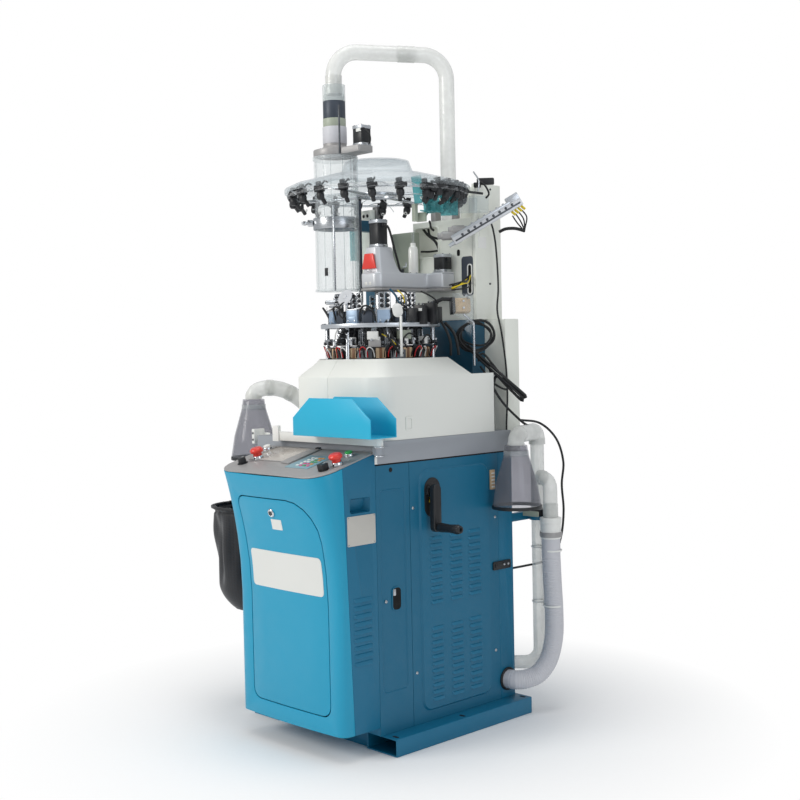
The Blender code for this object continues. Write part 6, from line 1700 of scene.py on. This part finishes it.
BAG_SIDES = 120
BAG_ROWS = 84
# The share of the way down where the cloth turns in to close its bottom
BAG_KNEE = 0.74
# The hanging cloth's length, for the weave's scale, and an allowance for its curve across the opening
BAG_DROP = 0.42


def bag_point(turn, share):
    """The cloth at an angle and a share of the way down: gathered on the hoop, slack, sagging to one side."""
    x, y, radius, low, top = BAG
    depth = top - low
    if share < BAG_KNEE:
        girth = 0.975 - 0.12 * math.sin(math.pi * min(1.0, share / 0.62) * 0.5) + 0.05 * share
    else:
        past = (share - BAG_KNEE) / 0.26
        girth = 0.892 * max(0.0, 1.0 - past**1.8) ** 0.55
    gather = (0.016 * math.exp(-share * 16) * math.sin(31 * turn)
              + 0.01 * math.exp(-share * 6) * math.sin(17 * turn + 1.0))
    slack = math.sin(math.pi * min(1.0, share * 1.25)) ** 1.2
    folds = (0.055 * math.sin(5 * turn + 2.6 * share + 0.7) + 0.04 * math.sin(8 * turn - 3.4 * share + 2.0)
             + 0.022 * math.sin(13 * turn + 5.0 * share)) * slack
    crease = -0.06 * slack * math.exp(-((math.sin((turn + 1.15 - 0.9 * share) / 2)) / 0.1) ** 2)
    reach = radius * (girth + gather + folds * 1.25 + crease * 1.4)
    if 0.035 < share < 0.075:
        reach -= radius * 0.045 * math.sin(math.pi * (share - 0.035) / 0.04)
    height = top - depth * share + 0.012 * slack * math.sin(3 * turn + 4 * share)
    lean = 0.01 * share**2
    sag = 0.06 * max(0.0, share - 0.55) * math.cos(turn - 2.2)
    place = (x + lean + reach * math.cos(turn), y - 0.4 * lean + reach * math.sin(turn),
             max(low + 0.001, height + sag))
    return Vector((max(place[0], x - radius * 1.02), place[1], place[2]))


def add_bag():
    """The black nylon waste bag on its hoop, with a turned-over hem."""
    bm = bmesh.new()
    layer = bm.loops.layers.uv.new("UVMap")
    x, y, radius, _, top = BAG
    rows = []
    for i in range(BAG_ROWS + 1):
        share = i / BAG_ROWS
        rows.append([bm.verts.new(bag_point(math.tau * k / BAG_SIDES, share)) for k in range(BAG_SIDES)])
    for i in range(BAG_ROWS):
        for k in range(BAG_SIDES):
            j = (k + 1) % BAG_SIDES
            face = bm.faces.new((rows[i][k], rows[i + 1][k], rows[i + 1][j], rows[i][j]))
            for loop, (u, v) in zip(face.loops, ((k, i), (k, i + 1), (k + 1, i + 1), (k + 1, i))):
                loop[layer].uv = (u / BAG_SIDES * math.tau * radius, v / BAG_ROWS * BAG_DROP)
    bmesh.ops.remove_doubles(bm, verts=rows[-1], dist=0.0008)
    area = sum(face.calc_area() for face in bm.faces)
    cloth = piece("waste_bag", [(bm, "cloth")], ("bag",))
    hem = []
    for k in range(BAG_SIDES + 1):
        turn = math.tau * k / BAG_SIDES
        puff = 0.0024 * math.sin(31 * turn) + 0.0012 * math.sin(47 * turn + 1)
        hem.append((x + (radius - 0.0035 + puff) * math.cos(turn),
                    y + (radius - 0.0035 + puff) * math.sin(turn),
                    top - 0.0035 + 0.0012 * math.sin(23 * turn)))
    hem_roll = piece("bag_hem", [(swept(hem, 0.0034, 10), "hem")])


def main():
    add_camera()
    add_floor()
    add_lights()
    add_cords()
    refine_parts()
    add_cabinet_sides()
    add_console_details()
    add_control_panel()
    add_hood_details()
    add_cam_units()
    add_selector_units()
    add_zone_singles()
    add_head()
    add_feeder_ring()
    add_column_details()
    add_canister_details()
    add_pipes()
    add_valve_details()
    add_bag()


main()
